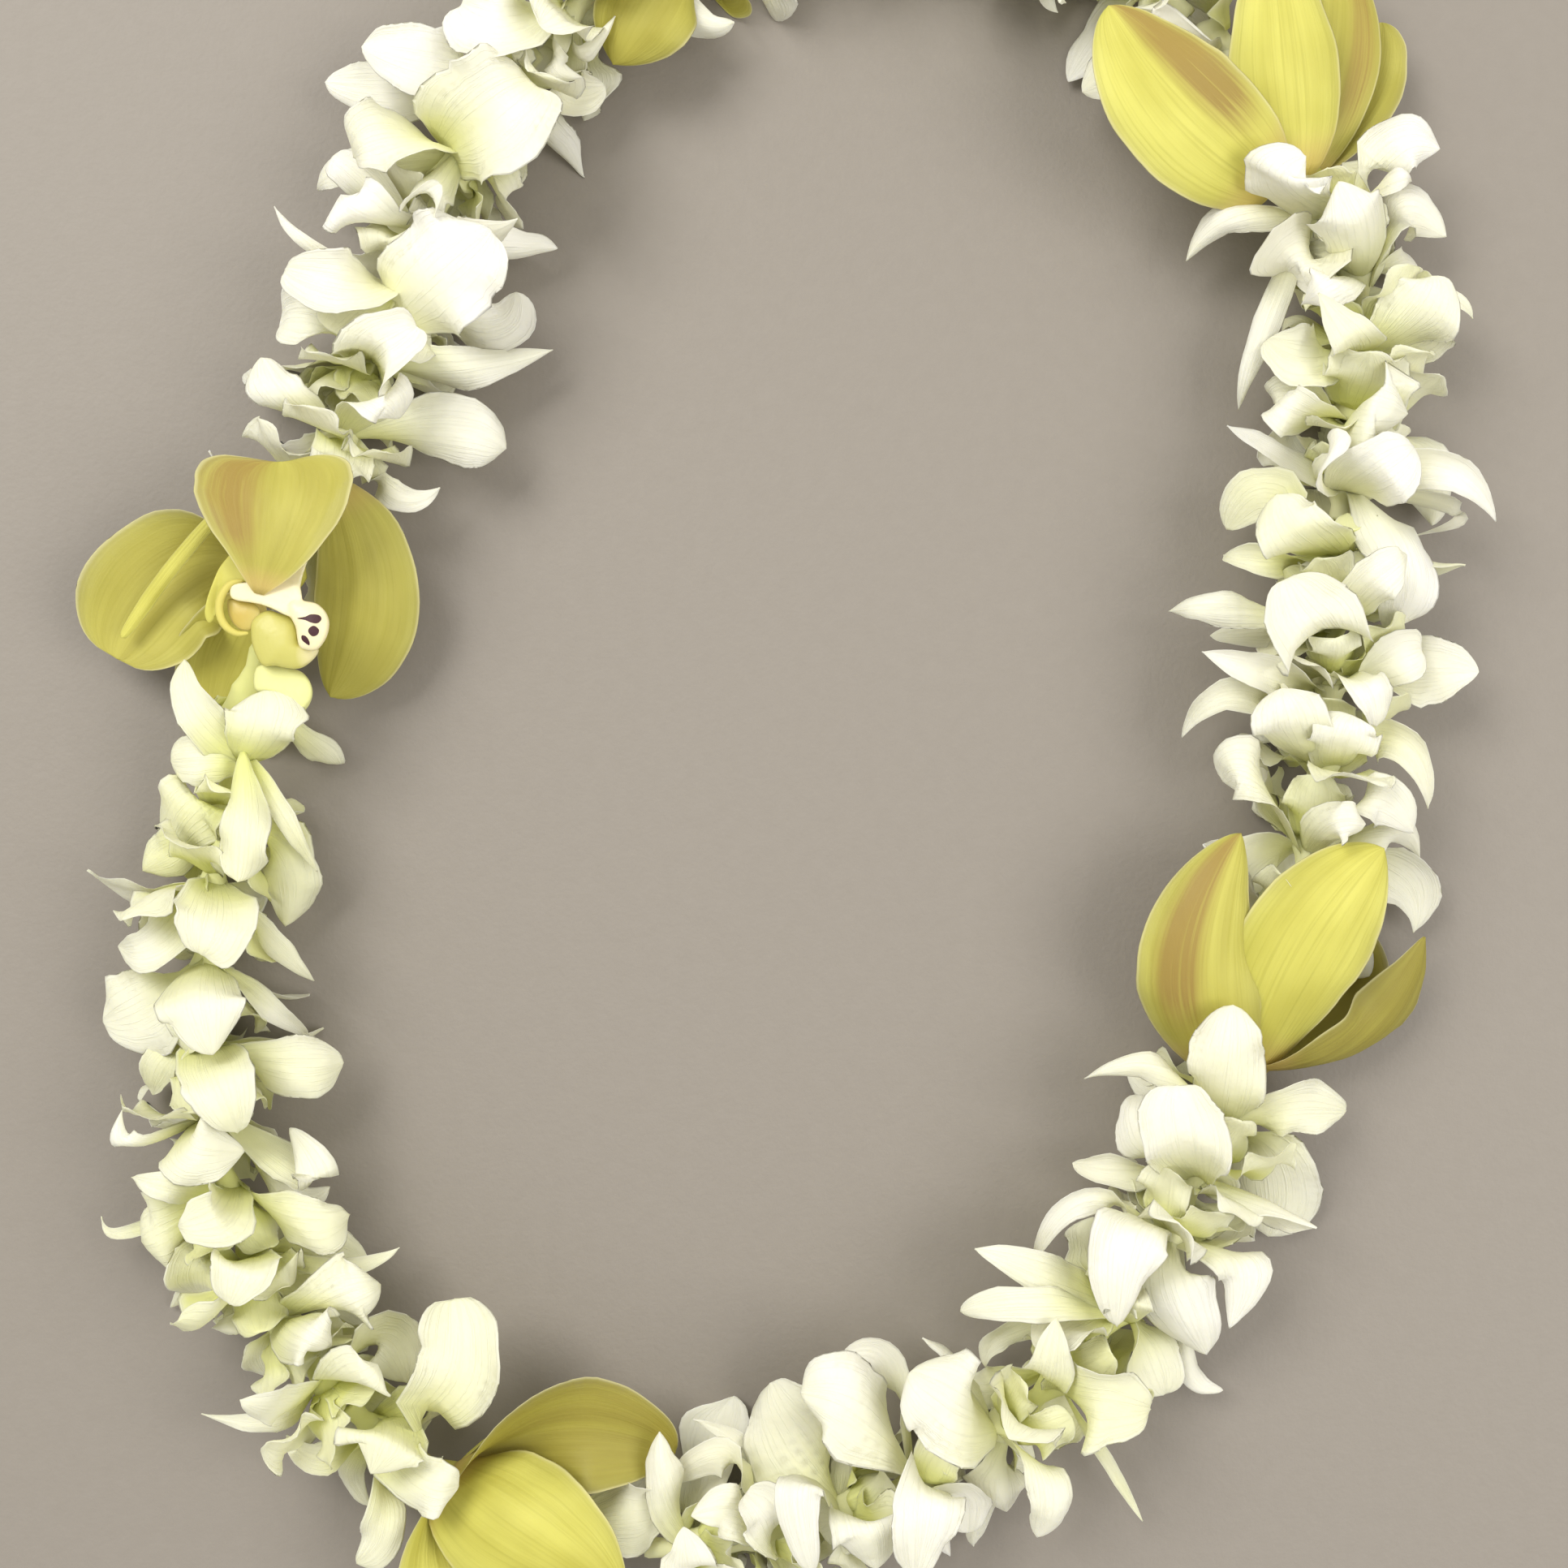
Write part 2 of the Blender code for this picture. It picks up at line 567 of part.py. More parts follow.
RIGHT = [
    ((1590, 1160), Seen(P, 60, (1645, 1165, 9), (1684, 1202, 7)),
     Seen(P, 50, (1672, 1128, 8), (1714, 1186, 6))),
    ((1620, 1050), Seen(P, 76, (1528, 1010, 23), (1462, 1025, 19)),
     Seen(P, 62, (1542, 955, 29), (1497, 966, 25)), Seen(P, 56, (1688, 984, 33), (1737, 1024, 27)),
     Seen(S, 42, (1712, 1018, 22), (1758, 1062, 17)), Seen(S, 68, (1728, 1078, 11), (1736, 1142, 7)),
     Seen(L, 46, (1640, 1022, 38), (1692, 1022, 37))),
    ((1633, 938), Seen(P, 72, (1594, 895, 37), (1580, 842, 39)),
     Seen(L, 72, (1652, 915, 35), (1666, 876, 37)),
     Seen(S, 46, (1712, 893, 27), (1763, 963, 17)), Seen(S, 36, (1543, 862, 27), (1471, 924, 17)),
     Seen(P, 62, (1612, 958, 33), (1602, 990, 29))),
    ((1641, 845), Seen(S, 42, (1560, 828, 29), (1487, 806, 25)),
     Seen(L, 42, (1682, 843, 35), (1693, 890, 31)),
     Seen(P, 70, (1745, 828, 16), (1822, 828, 20)), Seen(P, 50, (1715, 812, 24), (1752, 800, 22))),
    ((1642, 765), Seen(P, 92, (1620, 768, 39), (1584, 716, 39)),
     Seen(S, 40, (1520, 748, 29), (1432, 753, 23)),
     Seen(S, 30, (1562, 778, 16), (1494, 785, 12)), Seen(S, 26, (1718, 752, 23), (1743, 796, 16)),
     Seen(L, 54, (1665, 712, 37), (1720, 684, 37))),
    ((1646, 685), Seen(P, 72, (1600, 660, 37), (1574, 612, 37)),
     Seen(S, 30, (1560, 694, 25), (1506, 680, 21)),
     Seen(P, 58, (1566, 610, 23), (1512, 652, 17))),
    ((1653, 600), Seen(P, 74, (1702, 574, 39), (1748, 542, 38)),
     Seen(S, 42, (1596, 546, 31), (1532, 537, 27)),
     Seen(S, 40, (1775, 580, 27), (1841, 642, 21)), Seen(P, 76, (1714, 672, 27), (1700, 756, 21)),
     Seen(L, 55, (1630, 568, 37), (1604, 558, 35)), Seen(S, 18, (1796, 628, 19), (1740, 662, 13))),
    ((1664, 518), Seen(P, 86, (1690, 492, 41), (1736, 510, 37)),
     Seen(P, 52, (1604, 510, 33), (1578, 477, 31)),
     Seen(S, 50, (1590, 488, 21), (1562, 500, 17)), Seen(P, 62, (1756, 572, 12), (1766, 648, 8))),
    ((1679, 432), Seen(S, 52, (1668, 420, 39), (1626, 368, 39)),
     Seen(P, 82, (1732, 402, 31), (1745, 350, 29)),
     Seen(P, 52, (1776, 430, 22), (1816, 402, 24)), Seen(P, 60, (1608, 440, 27), (1568, 424, 23)),
     Seen(S, 26, (1772, 372, 17), (1808, 392, 15))),
    ((1679, 345), Seen(S, 50, (1650, 334, 39), (1607, 370, 37)),
     Seen(P, 80, (1618, 312, 31), (1588, 350, 25)),
     Seen(P, 52, (1738, 308, 20), (1771, 312, 16)), Seen(S, 22, (1752, 243, 27), (1783, 288, 20)),
     Seen(L, 78, (1675, 275, 40), (1650, 228, 40))),
    ((1652, 265), Seen(S, 30, (1573, 350, 31), (1524, 510, 27)),
     Seen(S, 40, (1528, 250, 34), (1452, 314, 26)),
     Seen(P, 84, (1586, 232, 38), (1610, 200, 39)), Seen(P, 64, (1702, 198, 31), (1748, 214, 27)),
     Seen(S, 24, (1716, 222, 35), (1746, 222, 31))),
]
TOP = [
    ((1520, 50),),
    ((1436, -28), Seen(P, 70, (1368, 22, 14), (1314, 62, 10)), Seen(P, 60, (1392, 62, 18), (1333, 112, 14)),
     Seen(S, 15, (1398, 112, 8), (1380, 170, 5))),
    ((1345, -80), Seen(S, 22, (1290, -18, 11), (1300, 13, 7))),
    ((1245, -121),),
    ((1140, -143),),
    ((1035, -148),),
    ((938, -128),),
]
TOP_LEFT = [
    ((765, -42),),
    ((692, 22), Seen(P, 72, (620, 30, 33), (574, 12, 29)), Seen(S, 20, (708, 50, 23), (766, 14, 18)),
     Seen(S, 28, (680, 68, 28), (712, 88, 24)), Seen(P, 50, (690, 106, 16), (731, 110, 12))),
    ((628, 103), Seen(P, 76, (540, 78, 25), (446, 58, 23)), Seen(P, 60, (496, 108, 15), (409, 106, 11))),
    ((565, 195), Seen(P, 126, (608, 138, 35), (685, 150, 33)), Seen(P, 72, (620, 206, 25), (676, 206, 21)),
     Seen(S, 34, (594, 262, 17), (661, 250, 14)), Seen(P, 72, (482, 162, 34), (434, 176, 31)),
     Seen(S, 42, (440, 215, 21), (389, 236, 14)), Seen(L, 60, (530, 232, 36), (518, 286, 33))),
    ((520, 285), Seen(P, 62, (440, 265, 35), (414, 232, 33)), Seen(S, 46, (432, 212, 26), (401, 190, 22))),
    ((487, 362), Seen(P, 126, (550, 335, 39), (614, 325, 37)), Seen(P, 76, (590, 388, 25), (636, 345, 21)),
     Seen(P, 60, (424, 350, 37), (359, 335, 33)), Seen(S, 15, (385, 305, 28), (334, 250, 26))),
    ((453, 447), Seen(S, 46, (572, 452, 21), (678, 433, 13)), Seen(P, 60, (385, 396, 23), (334, 400, 17)),
     Seen(L, 72, (472, 428, 39), (514, 402, 39))),
    ((420, 530), Seen(P, 66, (556, 532, 22), (624, 553, 17)), Seen(S, 34, (490, 590, 21), (571, 572, 16)),
     Seen(P, 46, (346, 490, 30), (318, 436, 29)), Seen(S, 30, (370, 516, 24), (327, 510, 20)),
     Seen(P, 56, (470, 490, 37), (492, 516, 34))),
    ((383, 612),),
]
LEFT = [
    ((316, 850), Seen(P, 56, (245, 880, 34), (222, 811, 33)), Seen(P, 90, (320, 890, 40), (326, 855, 37)),
     Seen(S, 46, (245, 936, 27), (204, 915, 23)), Seen(P, 42, (374, 940, 18), (384, 1002, 12)),
     Seen(L, 68, (300, 1020, 37), (297, 1087, 35)), Seen(S, 26, (342, 1000, 28), (391, 1074, 20))),
    ((277, 1003), Seen(P, 76, (238, 992, 25), (199, 1047, 17)),
     Seen(P, 60, (348, 1062, 20), (353, 1136, 12)),
     Seen(P, 52, (222, 1062, 17), (193, 1090, 12))),
    ((261, 1095), Seen(S, 50, (200, 1160, 29), (133, 1168, 23)),
     Seen(P, 78, (265, 1132, 38), (252, 1170, 38)),
     Seen(S, 28, (332, 1158, 26), (383, 1203, 18))),
    ((253, 1190), Seen(P, 92, (190, 1244, 23), (137, 1266, 17)),
     Seen(P, 82, (245, 1228, 39), (262, 1288, 37)),
     Seen(S, 24, (332, 1240, 22), (377, 1272, 14))),
    ((253, 1285), Seen(P, 64, (332, 1322, 33), (409, 1328, 27)),
     Seen(P, 70, (268, 1332, 39), (292, 1388, 35)),
     Seen(S, 42, (200, 1310, 21), (186, 1352, 15))),
    ((262, 1378), Seen(S, 34, (160, 1412, 30), (152, 1370, 28)),
     Seen(P, 78, (240, 1412, 39), (318, 1422, 35)),
     Seen(P, 46, (386, 1452, 25), (356, 1390, 25)), Seen(P, 40, (350, 1470, 19), (398, 1462, 15))),
    ((279, 1466), Seen(S, 32, (215, 1465, 33), (168, 1451, 29)),
     Seen(P, 56, (266, 1500, 41), (222, 1510, 39)),
     Seen(P, 82, (205, 1520, 25), (170, 1532, 19)), Seen(S, 15, (162, 1518, 12), (132, 1500, 10)),
     Seen(P, 58, (370, 1510, 31), (431, 1496, 25))),
    ((307, 1550), Seen(S, 20, (420, 1562, 21), (485, 1538, 17)),
     Seen(P, 62, (300, 1562, 39), (286, 1602, 38)),
     Seen(P, 56, (246, 1556, 24), (236, 1602, 18)), Seen(P, 50, (392, 1545, 12), (452, 1560, 8))),
    ((350, 1630), Seen(P, 72, (420, 1605, 35), (456, 1590, 31)),
     Seen(S, 26, (290, 1635, 25), (251, 1640, 21)),
     Seen(P, 42, (325, 1666, 14), (336, 1697, 10)), Seen(L, 62, (372, 1642, 39), (412, 1662, 36))),
    ((400, 1700), Seen(S, 28, (338, 1752, 22), (252, 1740, 21)),
     Seen(P, 72, (470, 1650, 17), (502, 1702, 12)),
     Seen(P, 62, (440, 1700, 39), (470, 1678, 39))),
    ((458, 1763), Seen(S, 34, (396, 1797, 18), (353, 1768, 16)),
     Seen(P, 108, (556, 1705, 31), (563, 1606, 27)),
     Seen(P, 82, (486, 1772, 40), (470, 1822, 40)), Seen(S, 28, (436, 1832, 16), (459, 1876, 10)),
     Seen(L, 64, (516, 1826, 37), (562, 1830, 34)), Seen(P, 60, (502, 1882, 27), (468, 1928, 23))),
]

# The yellow-green blooms in stringing order: each with its core's place on the thread, how many
# degrees it faces up, and its blades. The photograph shows the column and lip of the left one.
YS, YP, YF, YL, C = "yellow_sepal", "yellow_petal", "yellow_fan", "yellow_lip", "column"
YELLOW = {
    "bottom": ((545, 1828), 8, (Seen(YP, 118, (690, 1735, 21), (806, 1796, 17)),
                                Seen(YP, 150, (640, 1886, 35), (770, 1970, 33)),
                                Seen(YS, 125, (556, 1955, 25), (636, 2050, 23)),
                                Seen(YS, 118, (690, 1965, 8), (800, 2010, 6)),
                                Seen(YS, 112, (640, 1795, 7), (770, 1835, 5)))),
    "right": ((1540, 1308), 8, (Seen(YS, 142, (1466, 1175, 34), (1530, 1024, 33)),
                                Seen(YP, 118, (1622, 1170, 37), (1706, 1045, 35)),
                                Seen(YP, 95, (1692, 1275, 17), (1752, 1154, 20), 55),
                                Seen(YS, 118, (1636, 1215, 5), (1672, 1115, 4)),
                                Seen(YS, 112, (1488, 1215, 9), (1530, 1105, 6)))),
    "top_right": ((1580, 172), 8, (Seen(YP, 142, (1462, 112, 38), (1366, 8, 36)),
                                   Seen(YS, 124, (1565, 52, 33), (1558, -82, 36)),
                                   Seen(YP, 110, (1650, 60, 25), (1640, -62, 24), 50),
                                   Seen(YS, 98, (1672, 120, 12), (1712, 46, 12)),
                                   Seen(YS, 112, (1535, 90, 6), (1500, -15, 5)))),
    "top_left": ((850, -100), 8, (Seen(YP, 112, (802, -12, 26), (760, 73, 20)),
                                  Seen(YS, 104, (872, -25, 20), (848, 47, 14)),
                                  Seen(YP, 130, (765, -185, 30), (680, -215, 26)),
                                  Seen(YS, 140, (745, -110, 39), (640, -125, 36)),
                                  Seen(YS, 112, (780, -150, 7), (700, -165, 5)))),
    "left": ((345, 700), 25, (Seen(YP, 160, (205, 690, 15), (112, 790, 13)),
                              Seen(YS, 80, (224, 690, 29), (152, 786, 29), 70),
                              Seen(YF, 178, (338, 640, 38), (344, 576, 28)),
                              Seen(YP, 140, (462, 700, 21), (440, 858, 13)),
                              Seen(YS, 112, (290, 800, 7), (272, 870, 6)))),
}
MIDDLES = {
    "left": (Seen(C, 46, (354, 742, 36), (392, 784, 38)), Seen(YL, 92, (352, 788, 28), (340, 822, 31))),
}
HIDDEN_MIDDLE = (Guessed(C, 8, 50), Guessed(YL, 20, 40))
STRETCHES = {"bottom": BOTTOM, "right": RIGHT, "top_right": TOP, "top_left": TOP_LEFT, "left": LEFT}

# The sides of the core, clockwise from the top as the bloom faces, that these blades grow from.
DEALT_BY_HAND = {"left": (2, 1, 0, 5, 3)}
SEED = 11
ORCHID = {S: 3, P: 2, L: 1}
HIDDEN_ANGLES = {S: (70, 118), P: (58, 98), L: (30, 70)}
START_SPREAD = 12
END_SPREAD = 25
TWIST_SPREAD = 30
LEAST_SIZE = 0.8
MOST_FACING_UP = 15


def hidden_blades(seen, draw):
    """Blades to go with the seen ones, up to an orchid's three sepals, two petals and lip."""
    made = []
    for kind, count in ORCHID.items():
        start, end = HIDDEN_ANGLES[kind]
        for _ in range(count - sum(wish.kind == kind for wish in seen)):
            made.append(Guessed(kind, start + draw.uniform(-1, 1) * START_SPREAD,
                                end + draw.uniform(-1, 1) * END_SPREAD,
                                draw.uniform(-1, 1) * TWIST_SPREAD, draw.uniform(LEAST_SIZE, 1)))
    draw.shuffle(made)
    return made[:HEX - len(seen)]


def yellow_bloom(name):
    """A yellow-green bloom, and the cream column and lip in front of its middle, as two blooms."""
    place_px, facing_up, blades = YELLOW[name]
    distance = distance_at(*place_px)
    cup = Bloom(f"yellow_bloom_{name}", "yellow_petal", YELLOW_CORE, distance, facing_up, list(blades),
                0.0, DEALT_BY_HAND.get(name, ()))
    ahead = distance + cup.front + CORE_GAP + COLUMN_CORE.longest_stem
    return [cup, Bloom(f"yellow_column_{name}", "cream_column", COLUMN_CORE, ahead, 0,
                       list(MIDDLES.get(name, HIDDEN_MIDDLE)), cup.roll)]


def string_blooms():
    """Every bloom at its place on the thread, in stringing order."""
    draw = random.Random(SEED)
    blooms = []
    for name, stretch in STRETCHES.items():
        blooms += yellow_bloom(name)
        for number, (place_px, *seen) in enumerate(stretch, 1):
            blooms.append(Bloom(f"white_bloom_{name}_{number}", "white_petal", WHITE_CORE,
                                distance_at(*place_px), draw.uniform(0, MOST_FACING_UP),
                                seen + hidden_blades(seen, draw), draw.uniform(0, math.tau)))
    for behind, bloom in zip(blooms[-1:] + blooms, blooms):
        bloom.shape_core(behind.distance + behind.front)
    return blooms


def arrange(blooms):
    """Grows every blade clear of the others: the large blooms first, then the white blades that
    show, from the top down, and last the guessed ones."""
    obstacles = [Obstacle(*thread_guard())]
    obstacles += [Obstacle(*core_shell(bloom.rings, bloom.wish_at)) for bloom in blooms]

    def turn(job):
        bloom, side = job
        wish = bloom.wish_at[side]
        hidden = isinstance(wish, Guessed)
        return (MATERIAL_ORDER.index(bloom.material), hidden, 0 if hidden else -wish.middle[2])

    draw = random.Random(SEED)
    for bloom, side in sorted(((bloom, side) for bloom in blooms for side in bloom.wish_at), key=turn):
        grow(bloom, side, obstacles, draw)


MATERIAL_ORDER = ("cream_column", "yellow_petal", "white_petal")
MATERIALS = {
    "white_petal": ((0.87, 0.87, 0.74), 0.45),
    "yellow_petal": ((0.66, 0.64, 0.13), 0.40),
    "cream_column": ((0.87, 0.78, 0.52), 0.42),
    "cotton_thread": ((0.80, 0.78, 0.70), 0.85),
}


def material(name):
    """A plain Principled material in the piece's own colour."""
    made = bpy.data.materials.get(name)
    if made is None:
        made = bpy.data.materials.new(name)
        made.use_nodes = True
        colour, roughness = MATERIALS[name]
        shader = made.node_tree.nodes["Principled BSDF"]
        shader.inputs["Base Color"].default_value = (*colour, 1)
        shader.inputs["Roughness"].default_value = roughness
        shader.inputs["Metallic"].default_value = 0.0
    return made


def show(name, data, finish):
    """Links an object for the data, in its material."""
    made = bpy.data.objects.new(name, data)
    bpy.context.scene.collection.objects.link(made)
    data.materials.append(material(finish))


THREAD_POINTS = 66


def thread():
    """The closed thread, as a curve with a round bevel."""
    curve = bpy.data.curves.new("thread", "CURVE")
    curve.dimensions = "3D"
    curve.bevel_depth = THREAD_RADIUS
    curve.bevel_resolution = 1
    spline = curve.splines.new("POLY")
    spline.points.add(THREAD_POINTS - 1)
    for i, point in enumerate(spline.points):
        point.co = (*frame_at(i * STRAND_LENGTH / THREAD_POINTS).origin, 1)
    spline.use_cyclic_u = True
    show("thread", curve, "cotton_thread")


def main():
    for old in list(bpy.data.objects):
        bpy.data.objects.remove(old)
    thread()
    blooms = string_blooms()
    arrange(blooms)
    for bloom in blooms:
        show(bloom.name, bloom_mesh(bloom), bloom.material)


main()
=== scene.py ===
# %% [markdown]
# # A flower lei
#
# This lesson dresses a plain CAD model of a lei in Blender. The real thing is one cotton thread
# with about fifty white dendrobium orchids on it, all facing the same way round, and five larger
# yellow-green cymbidium orchids among them. It lies flat, in a loose oval.
#
# The CAD model comes first, as a fixed frame. Everything that is made later has to lie where its
# solids lie.

import itertools
import json
import math
import random
from bisect import bisect_right
from dataclasses import dataclass, replace

import bpy
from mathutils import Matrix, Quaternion, Vector
from mathutils.bvhtree import BVHTree

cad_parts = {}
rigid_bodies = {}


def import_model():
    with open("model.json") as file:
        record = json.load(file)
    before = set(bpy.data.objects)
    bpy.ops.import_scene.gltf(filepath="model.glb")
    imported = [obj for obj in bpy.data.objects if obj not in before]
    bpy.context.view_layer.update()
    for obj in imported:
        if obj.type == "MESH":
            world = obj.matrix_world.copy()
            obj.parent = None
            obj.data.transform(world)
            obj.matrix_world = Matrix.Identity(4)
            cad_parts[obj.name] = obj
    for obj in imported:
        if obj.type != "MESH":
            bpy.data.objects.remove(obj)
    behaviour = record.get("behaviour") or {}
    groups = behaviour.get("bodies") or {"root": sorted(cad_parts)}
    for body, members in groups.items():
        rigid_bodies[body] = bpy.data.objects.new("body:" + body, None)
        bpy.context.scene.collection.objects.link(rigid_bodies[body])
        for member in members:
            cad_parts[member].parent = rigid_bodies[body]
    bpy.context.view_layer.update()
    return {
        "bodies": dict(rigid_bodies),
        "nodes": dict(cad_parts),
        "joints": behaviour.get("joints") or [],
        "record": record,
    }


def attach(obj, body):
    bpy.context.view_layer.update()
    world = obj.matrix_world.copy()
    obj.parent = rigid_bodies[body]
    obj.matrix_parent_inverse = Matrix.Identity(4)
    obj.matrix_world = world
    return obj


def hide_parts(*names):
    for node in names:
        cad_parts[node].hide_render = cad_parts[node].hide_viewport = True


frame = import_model()
print("CAD nodes:", len(frame["nodes"]))

# %% [markdown]
# ## The thread's route
#
# A lei has no fixed shape, so its route is read from the photograph, as pixels along the strand.
# The strand's real length is known, about a metre, and that gives the size of a pixel. The
# photograph looks straight down, so a higher point shows further from the picture's middle, and
# `place` allows for that. Lengths are in metres, but names that end in PX are in pixels, and the
# heights in the lists of blooms are in millimetres.

# %% Sizes and the route
STRAND_LENGTH = 1.016
THREAD_RADIUS = 0.0005
THREAD_HEIGHT = 0.0155
CLEARANCE = 0.0004
PRESSED_DEPTH = 0.0022
MM = 0.001
CAMERA_ABOVE_THREAD = 0.55
CAMERA_PX = (966, 966)
OUTLINE_MIDDLE_PX = (957, 879)
ROUTE_PX = [
    (545, 1828), (670, 1890), (810, 1914), (960, 1895), (1100, 1842), (1225, 1770),
    (1335, 1672), (1420, 1560), (1480, 1440), (1535, 1310), (1585, 1165), (1620, 1030),
    (1637, 900), (1642, 775), (1647, 650), (1664, 525), (1682, 400), (1664, 285),
    (1600, 190), (1522, 82), (1428, -20), (1310, -95), (1175, -140), (1035, -150),
    (900, -118), (775, -50), (668, 45), (585, 165), (520, 290), (470, 415),
    (420, 540), (362, 670), (318, 800), (288, 930), (264, 1060), (252, 1190),
    (254, 1320), (272, 1440), (305, 1550), (362, 1655), (440, 1748),
]
SPLINE_STEPS = 16
HEX = 6
SIDE_ANGLE = math.radians(60)
UP = Vector((0, 0, 1))


def spline_points(controls, steps):
    """A closed cubic B-spline, which rounds the route's points off without wobbling."""
    found = []
    for i in range(len(controls)):
        a, b, c, d = (Vector(controls[(i + k) % len(controls)]) for k in (-1, 0, 1, 2))
        for step in range(steps):
            t = step / steps
            found.append(((1 - t) ** 3 * a + (3 * t**3 - 6 * t**2 + 4) * b
                          + (-3 * t**3 + 3 * t**2 + 3 * t + 1) * c + t**3 * d) / 6)
    return found


def running_length(points):
    """How far along the closed line each point is, and the length once round."""
    along = [0.0]
    for i, point in enumerate(points):
        along.append(along[-1] + (points[(i + 1) % len(points)] - point).length)
    return along[:-1], along[-1]


ROUTE = spline_points(ROUTE_PX, SPLINE_STEPS)
METRES_PER_PX = STRAND_LENGTH / running_length(ROUTE)[1]


def place(x_px, y_px, height):
    """The point at this height that shows at this pixel."""
    nearer = 1 - (height - THREAD_HEIGHT) / CAMERA_ABOVE_THREAD
    x = CAMERA_PX[0] + (x_px - CAMERA_PX[0]) * nearer - OUTLINE_MIDDLE_PX[0]
    y = CAMERA_PX[1] + (y_px - CAMERA_PX[1]) * nearer - OUTLINE_MIDDLE_PX[1]
    return Vector((x * METRES_PER_PX, -y * METRES_PER_PX, height))


def spot(x_px, y_px, height_mm):
    """The same, with the height in millimetres."""
    return place(x_px, y_px, height_mm * MM)


STRAND = [place(x, y, THREAD_HEIGHT) for x, y in ROUTE]
STRAND_ALONG, _ = running_length(STRAND)
print("one pixel is", round(METRES_PER_PX * 1000, 3), "mm")

# %% Directions along the thread
@dataclass
class Frame:
    """A place on the thread: the directions along it, up, and out of the loop."""
    origin: Vector
    along: Vector
    out: Vector

    def radial(self, angle):
        """The direction out of the thread at this angle from its upper side."""
        return UP * math.cos(angle) + self.out * math.sin(angle)


def frame_at(distance):
    """The thread's frame at a distance along it from the route's first point."""
    distance %= STRAND_LENGTH
    low = bisect_right(STRAND_ALONG, distance) - 1
    here, there = STRAND[low], STRAND[(low + 1) % len(STRAND)]
    step = there - here
    before = here - STRAND[low - 1]
    share = (distance - STRAND_ALONG[low]) / step.length
    along = before.normalized().lerp(step.normalized(), 0.5 + share / 2).normalized()
    return Frame(here + step * share, along, along.cross(UP))


def distance_at(x_px, y_px):
    """How far along the thread its nearest point to this pixel is."""
    wanted = place(x_px, y_px, THREAD_HEIGHT)
    return STRAND_ALONG[min(range(len(STRAND)), key=lambda i: (STRAND[i] - wanted).length)]


print("the thread starts at", tuple(round(x, 3) for x in frame_at(0).origin))

# %% [markdown]
# ## What a blade is
#
# Sepals, petals and lips are all thin blades. Each has a midrib that bends through space, a width
# that grows and shrinks along it, and edges that lift or drop. A cubic Bezier curve is enough for
# the midrib. A blade that the photograph shows is written down by its tip and its middle, and one
# that it hides by its angles from the way its bloom faces.

# %% Kinds of blade
@dataclass
class Form:
    """One kind of blade. claw and point are how slowly it widens from its root and how sharply
    it ends; cup lifts its edges towards its face, as a share of its half width; rows are the
    shares of its length that get a cross-section, of this many columns."""
    length: float
    width: float
    claw: float
    point: float
    cup: float
    rows: tuple
    columns: int
    thickness: float


WHITE_SEPAL = Form(0.029, 0.0125, 0.45, 0.60, -0.30, (0.25, 0.55, 0.83), 3, 0.0008)
WHITE_PETAL = Form(0.029, 0.0240, 0.50, 0.34, -0.15, (0.20, 0.46, 0.74, 0.94), 3, 0.0008)
WHITE_LIP = Form(0.023, 0.0150, 0.40, 0.28, 0.45, (0.25, 0.50, 0.75, 0.94), 3, 0.0008)
YELLOW_ROWS = (0.10, 0.28, 0.48, 0.68, 0.88)
YELLOW_SEPAL = Form(0.053, 0.0240, 1.10, 0.68, 0.26, YELLOW_ROWS, 5, 0.0011)
YELLOW_PETAL = Form(0.052, 0.0260, 1.15, 0.60, 0.24, YELLOW_ROWS, 5, 0.0011)
YELLOW_FAN = Form(0.040, 0.0330, 0.95, 0.16, 0.35, (0.14, 0.36, 0.60, 0.84, 0.97), 5, 0.0011)
YELLOW_LIP = Form(0.024, 0.0150, 0.55, 0.35, 0.55, (0.15, 0.40, 0.68, 0.92), 5, 0.0011)
YELLOW_COLUMN = Form(0.018, 0.0075, 0.30, 0.30, 0.10, (0.30, 0.62, 0.90), 3, 0.0046)
FORMS = {"sepal": WHITE_SEPAL, "petal": WHITE_PETAL, "lip": WHITE_LIP,
         "yellow_sepal": YELLOW_SEPAL, "yellow_petal": YELLOW_PETAL, "yellow_fan": YELLOW_FAN,
         "yellow_lip": YELLOW_LIP, "column": YELLOW_COLUMN}
ROOT_SHARE = 0.08
TURNED_BY = 0.625
WIDER = 1.16
print("kinds of blade:", len(FORMS))

# %% A blade in place
@dataclass
class Blade:
    """A blade in place: its midrib as a cubic curve, and the way across it at root and tip."""
    form: Form
    midrib: tuple
    across: tuple
    width: float


